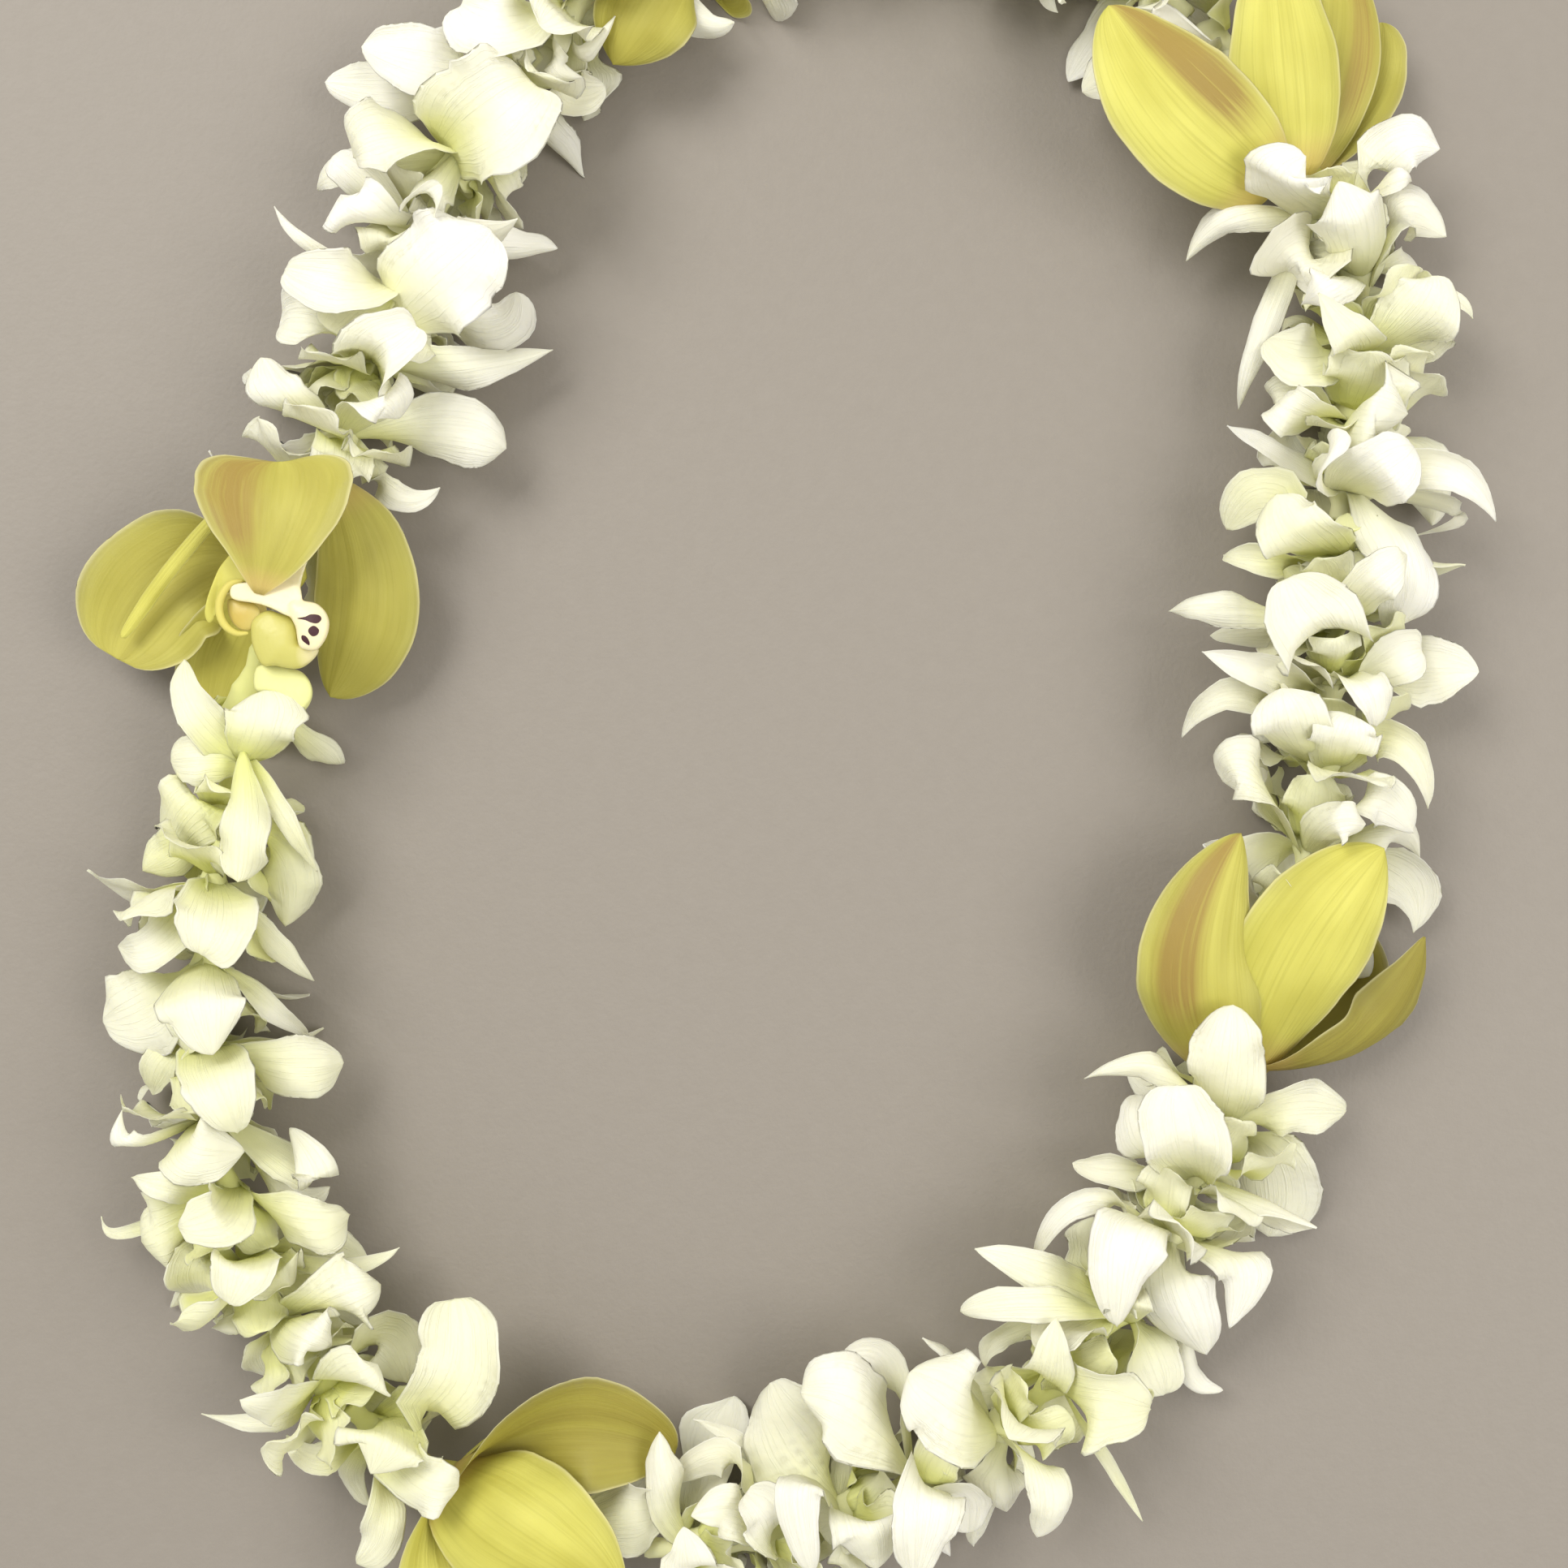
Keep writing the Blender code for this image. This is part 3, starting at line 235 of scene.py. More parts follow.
@dataclass
class Seen:
    """A blade that the photograph shows: how wide it looks there in pixels, and a point halfway
    along it and its tip as (x, y, height), in pixels and millimetres. A twist in degrees turns
    its face away from the camera."""
    kind: str
    width_px: float
    middle: tuple
    tip: tuple
    twist: float = 0.0

    def blade(self, root, side):
        """The blade through its middle to its tip, lying flat as the camera sees it."""
        middle, tip = spot(*self.middle), spot(*self.tip)
        pull = middle * 2 - (root + tip) / 2
        midrib = (root, root.lerp(pull, 2 / 3), tip.lerp(pull, 2 / 3), tip)
        arriving = (tip - pull).normalized()
        across = (tip - middle).cross(UP).normalized()
        if across.dot(side) < 0:
            across = -across
        across.rotate(Quaternion(arriving, math.radians(self.twist)))
        width = self.width_px * METRES_PER_PX * WIDER
        return Blade(FORMS[self.kind], midrib, (side, across), width)

    def bearing(self, bloom):
        """The angle round the bloom's middle at which the blade sets out."""
        middle = spot(*self.middle) - bloom.frame.origin
        return math.atan2(middle.dot(bloom.radial(math.pi / 2)), middle.dot(bloom.radial(0)))


NEARLY_STRAIGHT = 0.001


@dataclass
class Guessed:
    """A blade that the photograph hides: its angles from the way the bloom faces, at its root and
    at its tip, a turn about its own length, and a share of full size."""
    kind: str
    start: float
    end: float
    twist: float = 0.0
    size: float = 1.0

    def blade(self, root, side, facing, radial):
        """The blade as an arc that leaves at one angle and arrives at the other."""
        form = FORMS[self.kind]
        start, end = math.radians(self.start), math.radians(self.end)
        leaving = facing * math.cos(start) + radial * math.sin(start)
        arriving = facing * math.cos(end) + radial * math.sin(end)
        half_turn = max(abs(end - start) / 2, NEARLY_STRAIGHT)
        length = form.length * self.size
        tip = root + (leaving + arriving).normalized() * length * math.sin(half_turn) / half_turn
        across = side.copy()
        across.rotate(Quaternion(arriving, math.radians(self.twist)))
        midrib = (root, root + leaving * length / 3, tip - arriving * length / 3, tip)
        return Blade(form, midrib, (side, across), form.width * self.size)


SHOWN_WIDTH_PX = 80
print("a petal that looks", SHOWN_WIDTH_PX, "pixels wide is",
      round(SHOWN_WIDTH_PX * METRES_PER_PX * WIDER * 1000, 1), "mm wide")

# %% A coarse blade's cross-sections
def outline(form, t):
    """The blade's width at t, from 0 at its root to 1 at its tip, as a share of its widest."""
    q = (t + ROOT_SHARE) / (1 + ROOT_SHARE)
    widest = form.claw / (form.claw + form.point)
    return (q / widest) ** form.claw * ((1 - q) / (1 - widest)) ** form.point


def section(blade, t):
    """The midrib's point at t, and the directions across the blade and out of its face there."""
    a, b, c, d = blade.midrib
    s = 1 - t
    point = s**3 * a + 3 * s * s * t * b + 3 * s * t * t * c + t**3 * d
    slope = (s * s * (b - a) + 2 * s * t * (c - b) + t * t * (d - c)).normalized()
    across = blade.across[0].lerp(blade.across[1], min(1.0, t / TURNED_BY))
    across = (across - slope * across.dot(slope)).normalized()
    return point, across, slope.cross(across)


def ring_of(blade, t, grown):
    """A cross-section as a closed ring of points: left edge, back, right edge, face. What would
    be under the floor is pressed flat on it."""
    form = blade.form
    point, across, face = section(blade, t)
    half = blade.width * outline(form, t) / 2 + grown
    thick = form.thickness / 2 + grown
    inner = [2 * k / (form.columns - 1) - 1 for k in range(1, form.columns - 1)]

    def at(u, lift):
        bulge = math.sqrt(1 - u * u)
        return point + across * half * u + face * (form.cup * half * u * u + lift * bulge)

    backs = [at(u, -thick) for u in inner]
    faces = [at(u, thick) for u in inner]
    for pair in zip(backs, faces):
        under, over = sorted(pair, key=lambda p: p.z)
        under.z = max(under.z, 0.0)
        over.z = max(over.z, form.thickness)
    edges = [at(-1, 0), at(1, 0)]
    for edge in edges:
        edge.z = max(edge.z, 0.0)
    return [edges[0], *backs, edges[1], *reversed(faces)]


print("columns across a coarse petal:", WHITE_PETAL.columns)

# %% Stitch the coarse blade together
def stitch(low, high):
    """Triangles between two rings round one axis, each a list of (share of the turn, index)."""
    faces = []
    i = j = 0
    while i < len(low) or j < len(high):
        next_low = low[(i + 1) % len(low)][0] + (i + 1) // len(low)
        next_high = high[(j + 1) % len(high)][0] + (j + 1) // len(high)
        here, there = low[i % len(low)][1], high[j % len(high)][1]
        if j == len(high) or (i < len(low) and next_low <= next_high):
            faces.append((here, low[(i + 1) % len(low)][1], there))
            i += 1
        else:
            faces.append((here, high[(j + 1) % len(high)][1], there))
            j += 1
    return faces


ROOT_CORNERS = (0.125, 0.375, 0.625, 0.875)


def blade_shell(blade, root, grown=0.0):
    """Points and triangles of a blade that grows from four root corners, which come first."""
    points = list(root)
    previous = list(zip(ROOT_CORNERS, range(len(root))))
    faces = []
    for t in blade.form.rows:
        ring = ring_of(blade, t, grown)
        first = len(points)
        points += ring
        count = len(ring)
        current = [(k / count, first + k) for k in range(count)]
        if first == len(root):
            faces += stitch(previous, current)
        else:
            for k in range(count):
                a, b = previous[k][1], previous[(k + 1) % count][1]
                c, d = current[(k + 1) % count][1], current[k][1]
                faces += [(a, b, c), (a, c, d)] if k < count // 2 else [(a, b, d), (b, c, d)]
        previous = current
    tip = blade.midrib[3].copy()
    tip.z = max(tip.z, blade.form.thickness / 2)
    points.append(tip)
    count = len(previous)
    faces += [(previous[k][1], previous[(k + 1) % count][1], len(points) - 1) for k in range(count)]
    return points, faces


print("rows of corners on a coarse petal:", len(WHITE_PETAL.rows))

# %% [markdown]
# ## What a bloom is
#
# A bloom has a core that the thread runs through, with six sides, and one blade on each side: three
# sepals, two petals and a lip. The blades that the photograph shows go to the sides that point
# their way.

# %% Cores
@dataclass
class Core:
    """A bloom's middle, bored for the thread. Its blades grow from a six-sided belt of this
    radius and half depth. It tapers back from there to its stem, and ahead to its mouth, which
    is this far ahead of the belt and this deep."""
    belt_radius: float
    belt_half: float
    stem_radius: float
    longest_stem: float
    mouth_radius: float
    mouth_ahead: float
    mouth_depth: float


BORE_RADIUS = 0.00125
CORE_GAP = 0.0005
WHITE_CORE = Core(0.0038, 0.0013, 0.0026, 0.0100, 0.0052, 0.0045, 0.0030)
YELLOW_CORE = Core(0.0052, 0.0018, 0.0030, 0.0120, 0.0030, 0.0, 0.0)
COLUMN_CORE = Core(0.0034, 0.0015, 0.0026, 0.0024, 0.0026, 0.0, 0.0)
ROLLS_TRIED = 6


def mean(points):
    """The middle of some points."""
    return sum(points, Vector()) / len(points)


def hexagon(middle, radial, radius, roll=0.0, shift=0.0):
    """Six corners round a middle. radial gives the direction at an angle, and the shift turns
    the corners by a share of a side."""
    return [middle + radial(roll + (k + shift) * SIDE_ANGLE) * radius for k in range(HEX)]


print("a white core's belt is", WHITE_CORE.belt_radius * 2000, "mm wide")

# %% Blooms
@dataclass
class Bloom:
    """A bloom on the thread: its blades, seen or guessed, are dealt out to its core's sides."""
    name: str
    material: str
    core: Core
    distance: float
    facing_up: float
    wishes: list
    roll: float = 0.0
    sides: tuple = ()

    def __post_init__(self):
        self.frame = frame_at(self.distance)
        tilt = math.radians(self.facing_up)
        self.facing = self.frame.along * math.cos(tilt) + UP * math.sin(tilt)
        self.front = (self.core.belt_half + self.core.belt_radius * math.sin(tilt) + CORE_GAP
                      + self.core.mouth_ahead)
        self.deal()
        self.blades = {}

    def radial(self, angle):
        """The direction square to the way the bloom faces, at this angle from the upper side."""
        out = self.frame.out
        return out.cross(self.facing) * math.cos(angle) + out * math.sin(angle)

    def deal(self):
        """Turns the core, and gives each seen blade the side that best meets its bearing. The
        guessed blades take the sides that are left."""
        seen = [wish for wish in self.wishes if isinstance(wish, Seen)]
        guessed = [wish for wish in self.wishes if isinstance(wish, Guessed)]
        bearings = [wish.bearing(self) for wish in seen]
        sides = self.sides
        if seen and not sides:
            def miss(option):
                turn, order = option
                return sum((1 - math.cos(turn + side * SIDE_ANGLE - bearing)) ** 2
                           for side, bearing in zip(order, bearings))
            turns = [SIDE_ANGLE * k / ROLLS_TRIED for k in range(ROLLS_TRIED)]
            orders = itertools.permutations(range(HEX), len(seen))
            self.roll, sides = min(itertools.product(turns, list(orders)), key=miss)
        self.wish_at = dict(zip(sides or (), seen))
        free = [side for side in range(HEX) if side not in self.wish_at]
        spacing = max(1, len(free) // max(1, len(guessed)))
        self.wish_at.update(zip(free[::spacing], guessed))

    def shape_core(self, behind):
        """Sets the core's rings of corners, from the back over its outside to the front, and back
        through the bore. The back reaches almost to the bloom behind, which ends at this
        distance."""
        core = self.core
        back = min(core.longest_stem, (self.distance - behind) % STRAND_LENGTH - CORE_GAP)

        def ring(along, radius):
            frame = frame_at(self.distance + along)
            return hexagon(frame.origin, frame.radial, radius, self.roll, shift=-0.5)

        def belt(offset):
            return hexagon(self.frame.origin + self.facing * offset, self.radial,
                           core.belt_radius, self.roll, shift=-0.5)

        self.rings = [ring(-back, core.stem_radius), belt(-core.belt_half), belt(core.belt_half),
                      ring(self.front, core.mouth_radius),
                      ring(self.front - core.mouth_depth, BORE_RADIUS), ring(-back, BORE_RADIUS)]

    def root(self, side):
        """The four core corners that a blade grows from, in the order of a blade's ring."""
        right = (side + 1) % HEX
        back, front = self.rings[1:3]
        return [back[side], back[right], front[right], front[side]]

    def wished_blade(self, side):
        """The blade that is wished for this side, before it is bent clear of anything."""
        wish = self.wish_at[side]
        root = mean(self.root(side))
        radial = self.radial(self.roll + side * SIDE_ANGLE)
        across = self.facing.cross(radial)
        if isinstance(wish, Seen):
            return wish.blade(root, across)
        return wish.blade(root, across, self.facing, radial)


print("distances along the thread run from 0 to", STRAND_LENGTH)

# %% A core's shell
def ring_faces(rings, around, closed=False):
    """Faces between rings of this many points. Closed, the last ring also meets the first."""
    return [(r * around + k, r * around + (k + 1) % around,
             (r + 1) % rings * around + (k + 1) % around, (r + 1) % rings * around + k)
            for r in range(rings if closed else rings - 1) for k in range(around)]


def core_shell(rings, open_sides):
    """Points and triangles of a bloom's core, with no face on the sides where blades grow."""
    points = [corner for ring in rings for corner in ring]
    quads = enumerate(ring_faces(len(rings), HEX, closed=True))
    return points, [face for number, (a, b, c, d) in quads if number - HEX not in open_sides
                    for face in ((a, b, c), (a, c, d))]


print("a core's rings have", HEX, "corners each")

# %% [markdown]
# ## Bending blades clear of each other
#
# Fifty blooms with six blades each would cross if they were placed by rule. Each blade is tried
# many times, a little further from where it is wished each time, until it clears what is already
# there. The random moves are seeded, so the lei comes out the same each time.

# %% Obstacles
class Obstacle:
    """Something already in place that a new blade has to clear, inside a ball of this reach."""

    def __init__(self, points, faces):
        self.tree = BVHTree.FromPolygons(points, faces)
        self.middle = mean(points)
        self.reach = max((p - self.middle).length for p in points)

    def meets(self, other):
        """Whether the two cross. Their balls are quick to compare, so they come first."""
        apart = (self.middle - other.middle).length
        return apart < self.reach + other.reach and bool(self.tree.overlap(other.tree))


GUARD_RADIUS = 0.0022
GUARD_STEP = 4
ROOT_DRAWN_IN = 0.35


def thread_guard():
    """A slim tube along the thread, which no blade may cross."""
    frames = [frame_at(along) for along in STRAND_ALONG[::GUARD_STEP]]
    points = [corner for frame in frames
              for corner in hexagon(frame.origin, frame.radial, GUARD_RADIUS)]
    return points, ring_faces(len(frames), HEX, closed=True)


def solid(blade, root, grown=0.0):
    """The blade as an obstacle. Its root is pulled off the core's edges, so that it doesn't count
    as crossing the core it grows from."""
    points, faces = blade_shell(blade, root, grown)
    heart = mean(root)
    drawn_in = [corner.lerp(heart, ROOT_DRAWN_IN) for corner in root]
    return Obstacle(drawn_in + points[len(root):], faces)


def in_place(blooms, but=()):
    """The thread, all cores and the blades that are there so far, but for some, as obstacles."""
    obstacles = [Obstacle(*thread_guard())]
    for bloom in blooms:
        obstacles.append(Obstacle(*core_shell(bloom.rings, bloom.wish_at)))
        obstacles += [solid(blade, bloom.root(side)) for side, blade in bloom.blades.items()
                      if (bloom.name, side) not in but]
    return obstacles


print("corners of the guard round the thread:", len(thread_guard()[0]))

# %% Finding room for each blade
ATTEMPTS = 500
EFFORT_POWER = 1.8
MOST_ASIDE = 0.013
MOST_UP = 0.017
MOST_TWIST = 50
SMALLEST_SIZE = 0.6
SHRINKS_FROM = 0.45
SWELL_LEAVING = 0.4
SWELL_ARRIVING = 0.6
MOVE_ARRIVING = 0.7


def bent_aside(blade, effort, draw):
    """The same blade, moved by up to this effort from 0 to 1, and smaller at great effort."""
    def any_way():
        return Vector((draw.uniform(-1, 1) * MOST_ASIDE, draw.uniform(-1, 1) * MOST_ASIDE,
                       draw.uniform(-1, 1) * MOST_UP)) * effort

    root, leaving, arriving, tip = blade.midrib
    size = 1 - (1 - SMALLEST_SIZE) * max(0.0, effort - SHRINKS_FROM) / (1 - SHRINKS_FROM)
    move, swell = any_way(), any_way()
    midrib = (root,
              root + (leaving - root) * size + swell * SWELL_LEAVING,
              root + (arriving - root) * size + swell * SWELL_ARRIVING + move * MOVE_ARRIVING,
              root + (tip - root) * size + move)
    turn = Quaternion((midrib[3] - midrib[2]).normalized(),
                      math.radians(draw.uniform(-MOST_TWIST, MOST_TWIST) * effort))
    across = blade.across[1].copy()
    across.rotate(turn)
    return replace(blade, midrib=midrib, across=(blade.across[0], across), width=blade.width * size)


def clears(blade, root, obstacles):
    """Whether the blade, grown by the clearance, is above the floor and crosses nothing."""
    if min(section(blade, t)[0].z for t in (*blade.form.rows, 1.0)) < -PRESSED_DEPTH:
        return False
    grown = solid(blade, root, CLEARANCE)
    return not any(grown.meets(obstacle) for obstacle in obstacles)


def find_room(wished, root, obstacles, draw, tries=ATTEMPTS, most=1.0, refused=None):
    """The wished blade, bent aside more and more until it clears the obstacles and isn't refused.
    It is then an obstacle itself. Nothing is returned where there is no room."""
    for attempt in range(tries):
        blade = bent_aside(wished, most * (attempt / (tries - 1)) ** EFFORT_POWER, draw)
        if not (refused and refused(blade)) and clears(blade, root, obstacles):
            obstacles.append(solid(blade, root))
            return blade


def grow(bloom, side, obstacles, draw):
    """Bends one blade clear of what is in place, and keeps it."""
    blade = find_room(bloom.wished_blade(side), bloom.root(side), obstacles, draw)
    if blade:
        bloom.blades[side] = blade
    else:
        print(f"{bloom.name}: no room on side {side}")


print("most tries for a blade:", ATTEMPTS)

# %% [markdown]
# ## The blooms in the photograph
#
# These lists name what can be made out of each bloom: its place on the thread, then its blades,
# as rows of a kind, a width, a middle and a tip. They follow the stringing order.

# %% White blooms along the bottom
S, P, L = "sepal", "petal", "lip"
BOTTOM = [
    ((700, 1897), (P, 80, (757, 1888, 17), (800, 1898, 15))),
    ((845, 1908), (S, 42, (822, 1832, 25), (812, 1766, 27)),
     (P, 55, (850, 1932, 31), (842, 1888, 37))),
    ((945, 1895), (P, 42, (902, 1812, 23), (836, 1852, 17)),
     (P, 50, (905, 1862, 31), (858, 1865, 31)), (L, 60, (950, 1868, 35), (935, 1842, 36)),
     (S, 26, (928, 1795, 17), (852, 1743, 19))),
    ((1038, 1867), (P, 112, (1000, 1785, 23), (970, 1724, 19)),
     (P, 45, (985, 1832, 39), (1000, 1928, 31)), (P, 65, (1065, 1880, 36), (1082, 1940, 28))),
    ((1128, 1820), (P, 88, (1062, 1738, 36), (988, 1716, 34)),
     (S, 34, (1096, 1682, 21), (1043, 1672, 17)), (P, 66, (1142, 1850, 37), (1128, 1940, 30)),
     (P, 60, (1178, 1828, 24), (1216, 1862, 19))),
    ((1236, 1762), (P, 96, (1180, 1736, 40), (1122, 1694, 38)),
     (P, 42, (1292, 1830, 28), (1278, 1903, 22)), (P, 60, (1236, 1832, 17), (1242, 1870, 13)),
     (S, 28, (1216, 1850, 12), (1214, 1903, 8))),
    ((1303, 1705), (S, 48, (1292, 1690, 35), (1303, 1624, 39)),
     (P, 84, (1352, 1726, 35), (1412, 1724, 28)), (L, 50, (1355, 1672, 31), (1374, 1642, 34)),
     (S, 15, (1362, 1797, 14), (1401, 1862, 8)), (P, 60, (1252, 1736, 15), (1218, 1712, 11))),
    ((1383, 1618), (S, 46, (1296, 1570, 30), (1208, 1543, 27)),
     (P, 34, (1280, 1606, 35), (1183, 1616, 30)), (S, 30, (1244, 1640, 14), (1220, 1672, 8)),
     (P, 60, (1415, 1675, 15), (1432, 1716, 11)), (L, 55, (1380, 1620, 36), (1358, 1645, 35))),
    ((1441, 1527), (S, 28, (1343, 1478, 31), (1274, 1550, 23)),
     (P, 72, (1392, 1520, 39), (1376, 1632, 33)), (P, 75, (1440, 1600, 30), (1482, 1670, 21)),
     (S, 60, (1530, 1560, 26), (1514, 1628, 20)), (L, 26, (1460, 1675, 12), (1502, 1708, 7))),
    ((1480, 1447), (P, 66, (1408, 1402, 32), (1372, 1328, 31)),
     (P, 82, (1458, 1402, 39), (1450, 1336, 40)), (S, 34, (1388, 1442, 16), (1336, 1425, 14))),
    ((1510, 1385), (L, 78, (1512, 1325, 36), (1521, 1236, 38)),
     (P, 56, (1592, 1350, 27), (1668, 1350, 21)), (P, 92, (1556, 1420, 15), (1562, 1496, 9)),
     (S, 32, (1440, 1312, 33), (1357, 1326, 28))),
]
print("white blooms along the bottom:", len(BOTTOM))

# %% White blooms up the right side and over the top
RIGHT = [
    ((1590, 1160), (P, 60, (1645, 1165, 9), (1684, 1202, 7)),
     (P, 50, (1672, 1128, 8), (1714, 1186, 6))),
    ((1620, 1050), (P, 76, (1528, 1010, 23), (1462, 1025, 19)),
     (P, 62, (1542, 955, 29), (1497, 966, 25)), (P, 56, (1688, 984, 33), (1737, 1024, 27)),
     (S, 42, (1712, 1018, 22), (1758, 1062, 17)), (S, 68, (1728, 1078, 11), (1736, 1142, 7)),
     (L, 46, (1640, 1022, 38), (1692, 1022, 37))),
    ((1633, 938), (P, 72, (1594, 895, 37), (1580, 842, 39)),
     (L, 72, (1652, 915, 35), (1666, 876, 37)), (S, 46, (1712, 893, 27), (1763, 963, 17)),
     (S, 36, (1543, 862, 27), (1471, 924, 17)), (P, 62, (1612, 958, 33), (1602, 990, 29))),
    ((1641, 845), (S, 42, (1560, 828, 29), (1487, 806, 25)),
     (L, 42, (1682, 843, 35), (1693, 890, 31)), (P, 70, (1745, 828, 16), (1822, 828, 20)),
     (P, 50, (1715, 812, 24), (1752, 800, 22))),
    ((1642, 765), (P, 92, (1620, 768, 39), (1584, 716, 39)),
     (S, 40, (1520, 748, 29), (1432, 753, 23)), (S, 30, (1562, 778, 16), (1494, 785, 12)),
     (S, 26, (1718, 752, 23), (1743, 796, 16)), (L, 54, (1665, 712, 37), (1720, 684, 37))),
    ((1646, 685), (P, 72, (1600, 660, 37), (1574, 612, 37)),
     (S, 30, (1560, 694, 25), (1506, 680, 21)), (P, 58, (1566, 610, 23), (1512, 652, 17))),
    ((1653, 600), (P, 74, (1702, 574, 39), (1748, 542, 38)),
     (S, 42, (1596, 546, 31), (1532, 537, 27)), (S, 40, (1775, 580, 27), (1841, 642, 21)),
     (P, 76, (1714, 672, 27), (1700, 756, 21)), (L, 55, (1630, 568, 37), (1604, 558, 35)),
     (S, 18, (1796, 628, 19), (1740, 662, 13))),
    ((1664, 518), (P, 86, (1690, 492, 41), (1736, 510, 37)),
     (P, 52, (1604, 510, 33), (1578, 477, 31)), (S, 50, (1590, 488, 21), (1562, 500, 17)),
     (P, 62, (1756, 572, 12), (1766, 648, 8))),
    ((1679, 432), (S, 52, (1668, 420, 39), (1626, 368, 39)),
     (P, 82, (1732, 402, 31), (1745, 350, 29)), (P, 52, (1776, 430, 22), (1816, 402, 24)),
     (P, 60, (1608, 440, 27), (1568, 424, 23)), (S, 26, (1772, 372, 17), (1808, 392, 15))),
    ((1679, 345), (S, 50, (1650, 334, 39), (1607, 370, 37)),
     (P, 80, (1618, 312, 31), (1588, 350, 25)), (P, 52, (1738, 308, 20), (1771, 312, 16)),
     (S, 22, (1752, 243, 27), (1783, 288, 20)), (L, 78, (1675, 275, 40), (1650, 228, 40))),
    ((1652, 265), (S, 30, (1573, 350, 31), (1524, 510, 27)),
     (S, 40, (1528, 250, 34), (1452, 314, 26)), (P, 84, (1586, 232, 38), (1610, 200, 39)),
     (P, 64, (1702, 198, 31), (1748, 214, 27)), (S, 24, (1716, 222, 35), (1746, 222, 31))),
]
TOP = [
    ((1520, 50),),
    ((1436, -28), (P, 70, (1368, 22, 14), (1314, 62, 10)), (P, 60, (1392, 62, 18), (1333, 112, 14)),
     (S, 15, (1398, 112, 8), (1380, 170, 5))),
    ((1345, -80), (S, 22, (1290, -18, 11), (1300, 13, 7))),
    ((1245, -121),),
    ((1140, -143),),
    ((1035, -148),),
    ((938, -128),),
]
print("up the right side:", len(RIGHT), "over the top:", len(TOP))

# %% White blooms down the left side
TOP_LEFT = [
    ((765, -42),),
    ((692, 22), (P, 72, (620, 30, 33), (574, 12, 29)), (S, 20, (708, 50, 23), (766, 14, 18)),
     (S, 28, (680, 68, 28), (712, 88, 24)), (P, 50, (690, 106, 16), (731, 110, 12))),
    ((628, 103), (P, 76, (540, 78, 25), (446, 58, 23)), (P, 60, (496, 108, 15), (409, 106, 11))),
    ((565, 195), (P, 126, (608, 138, 35), (685, 150, 33)), (P, 72, (620, 206, 25), (676, 206, 21)),
     (S, 34, (594, 262, 17), (661, 250, 14)), (P, 72, (482, 162, 34), (434, 176, 31)),
     (S, 42, (440, 215, 21), (389, 236, 14)), (L, 60, (530, 232, 36), (518, 286, 33))),
    ((520, 285), (P, 62, (440, 265, 35), (414, 232, 33)), (S, 46, (432, 212, 26), (401, 190, 22))),
    ((487, 362), (P, 126, (550, 335, 39), (614, 325, 37)), (P, 76, (590, 388, 25), (636, 345, 21)),
     (P, 60, (424, 350, 37), (359, 335, 33)), (S, 15, (385, 305, 28), (334, 250, 26))),
    ((453, 447), (S, 46, (572, 452, 21), (678, 433, 13)), (P, 60, (385, 396, 23), (334, 400, 17)),
     (L, 72, (472, 428, 39), (514, 402, 39))),
    ((420, 530), (P, 66, (556, 532, 22), (624, 553, 17)), (S, 34, (490, 590, 21), (571, 572, 16)),
     (P, 46, (346, 490, 30), (318, 436, 29)), (S, 30, (370, 516, 24), (327, 510, 20)),
     (P, 56, (470, 490, 37), (492, 516, 34))),
    ((383, 612),),
]
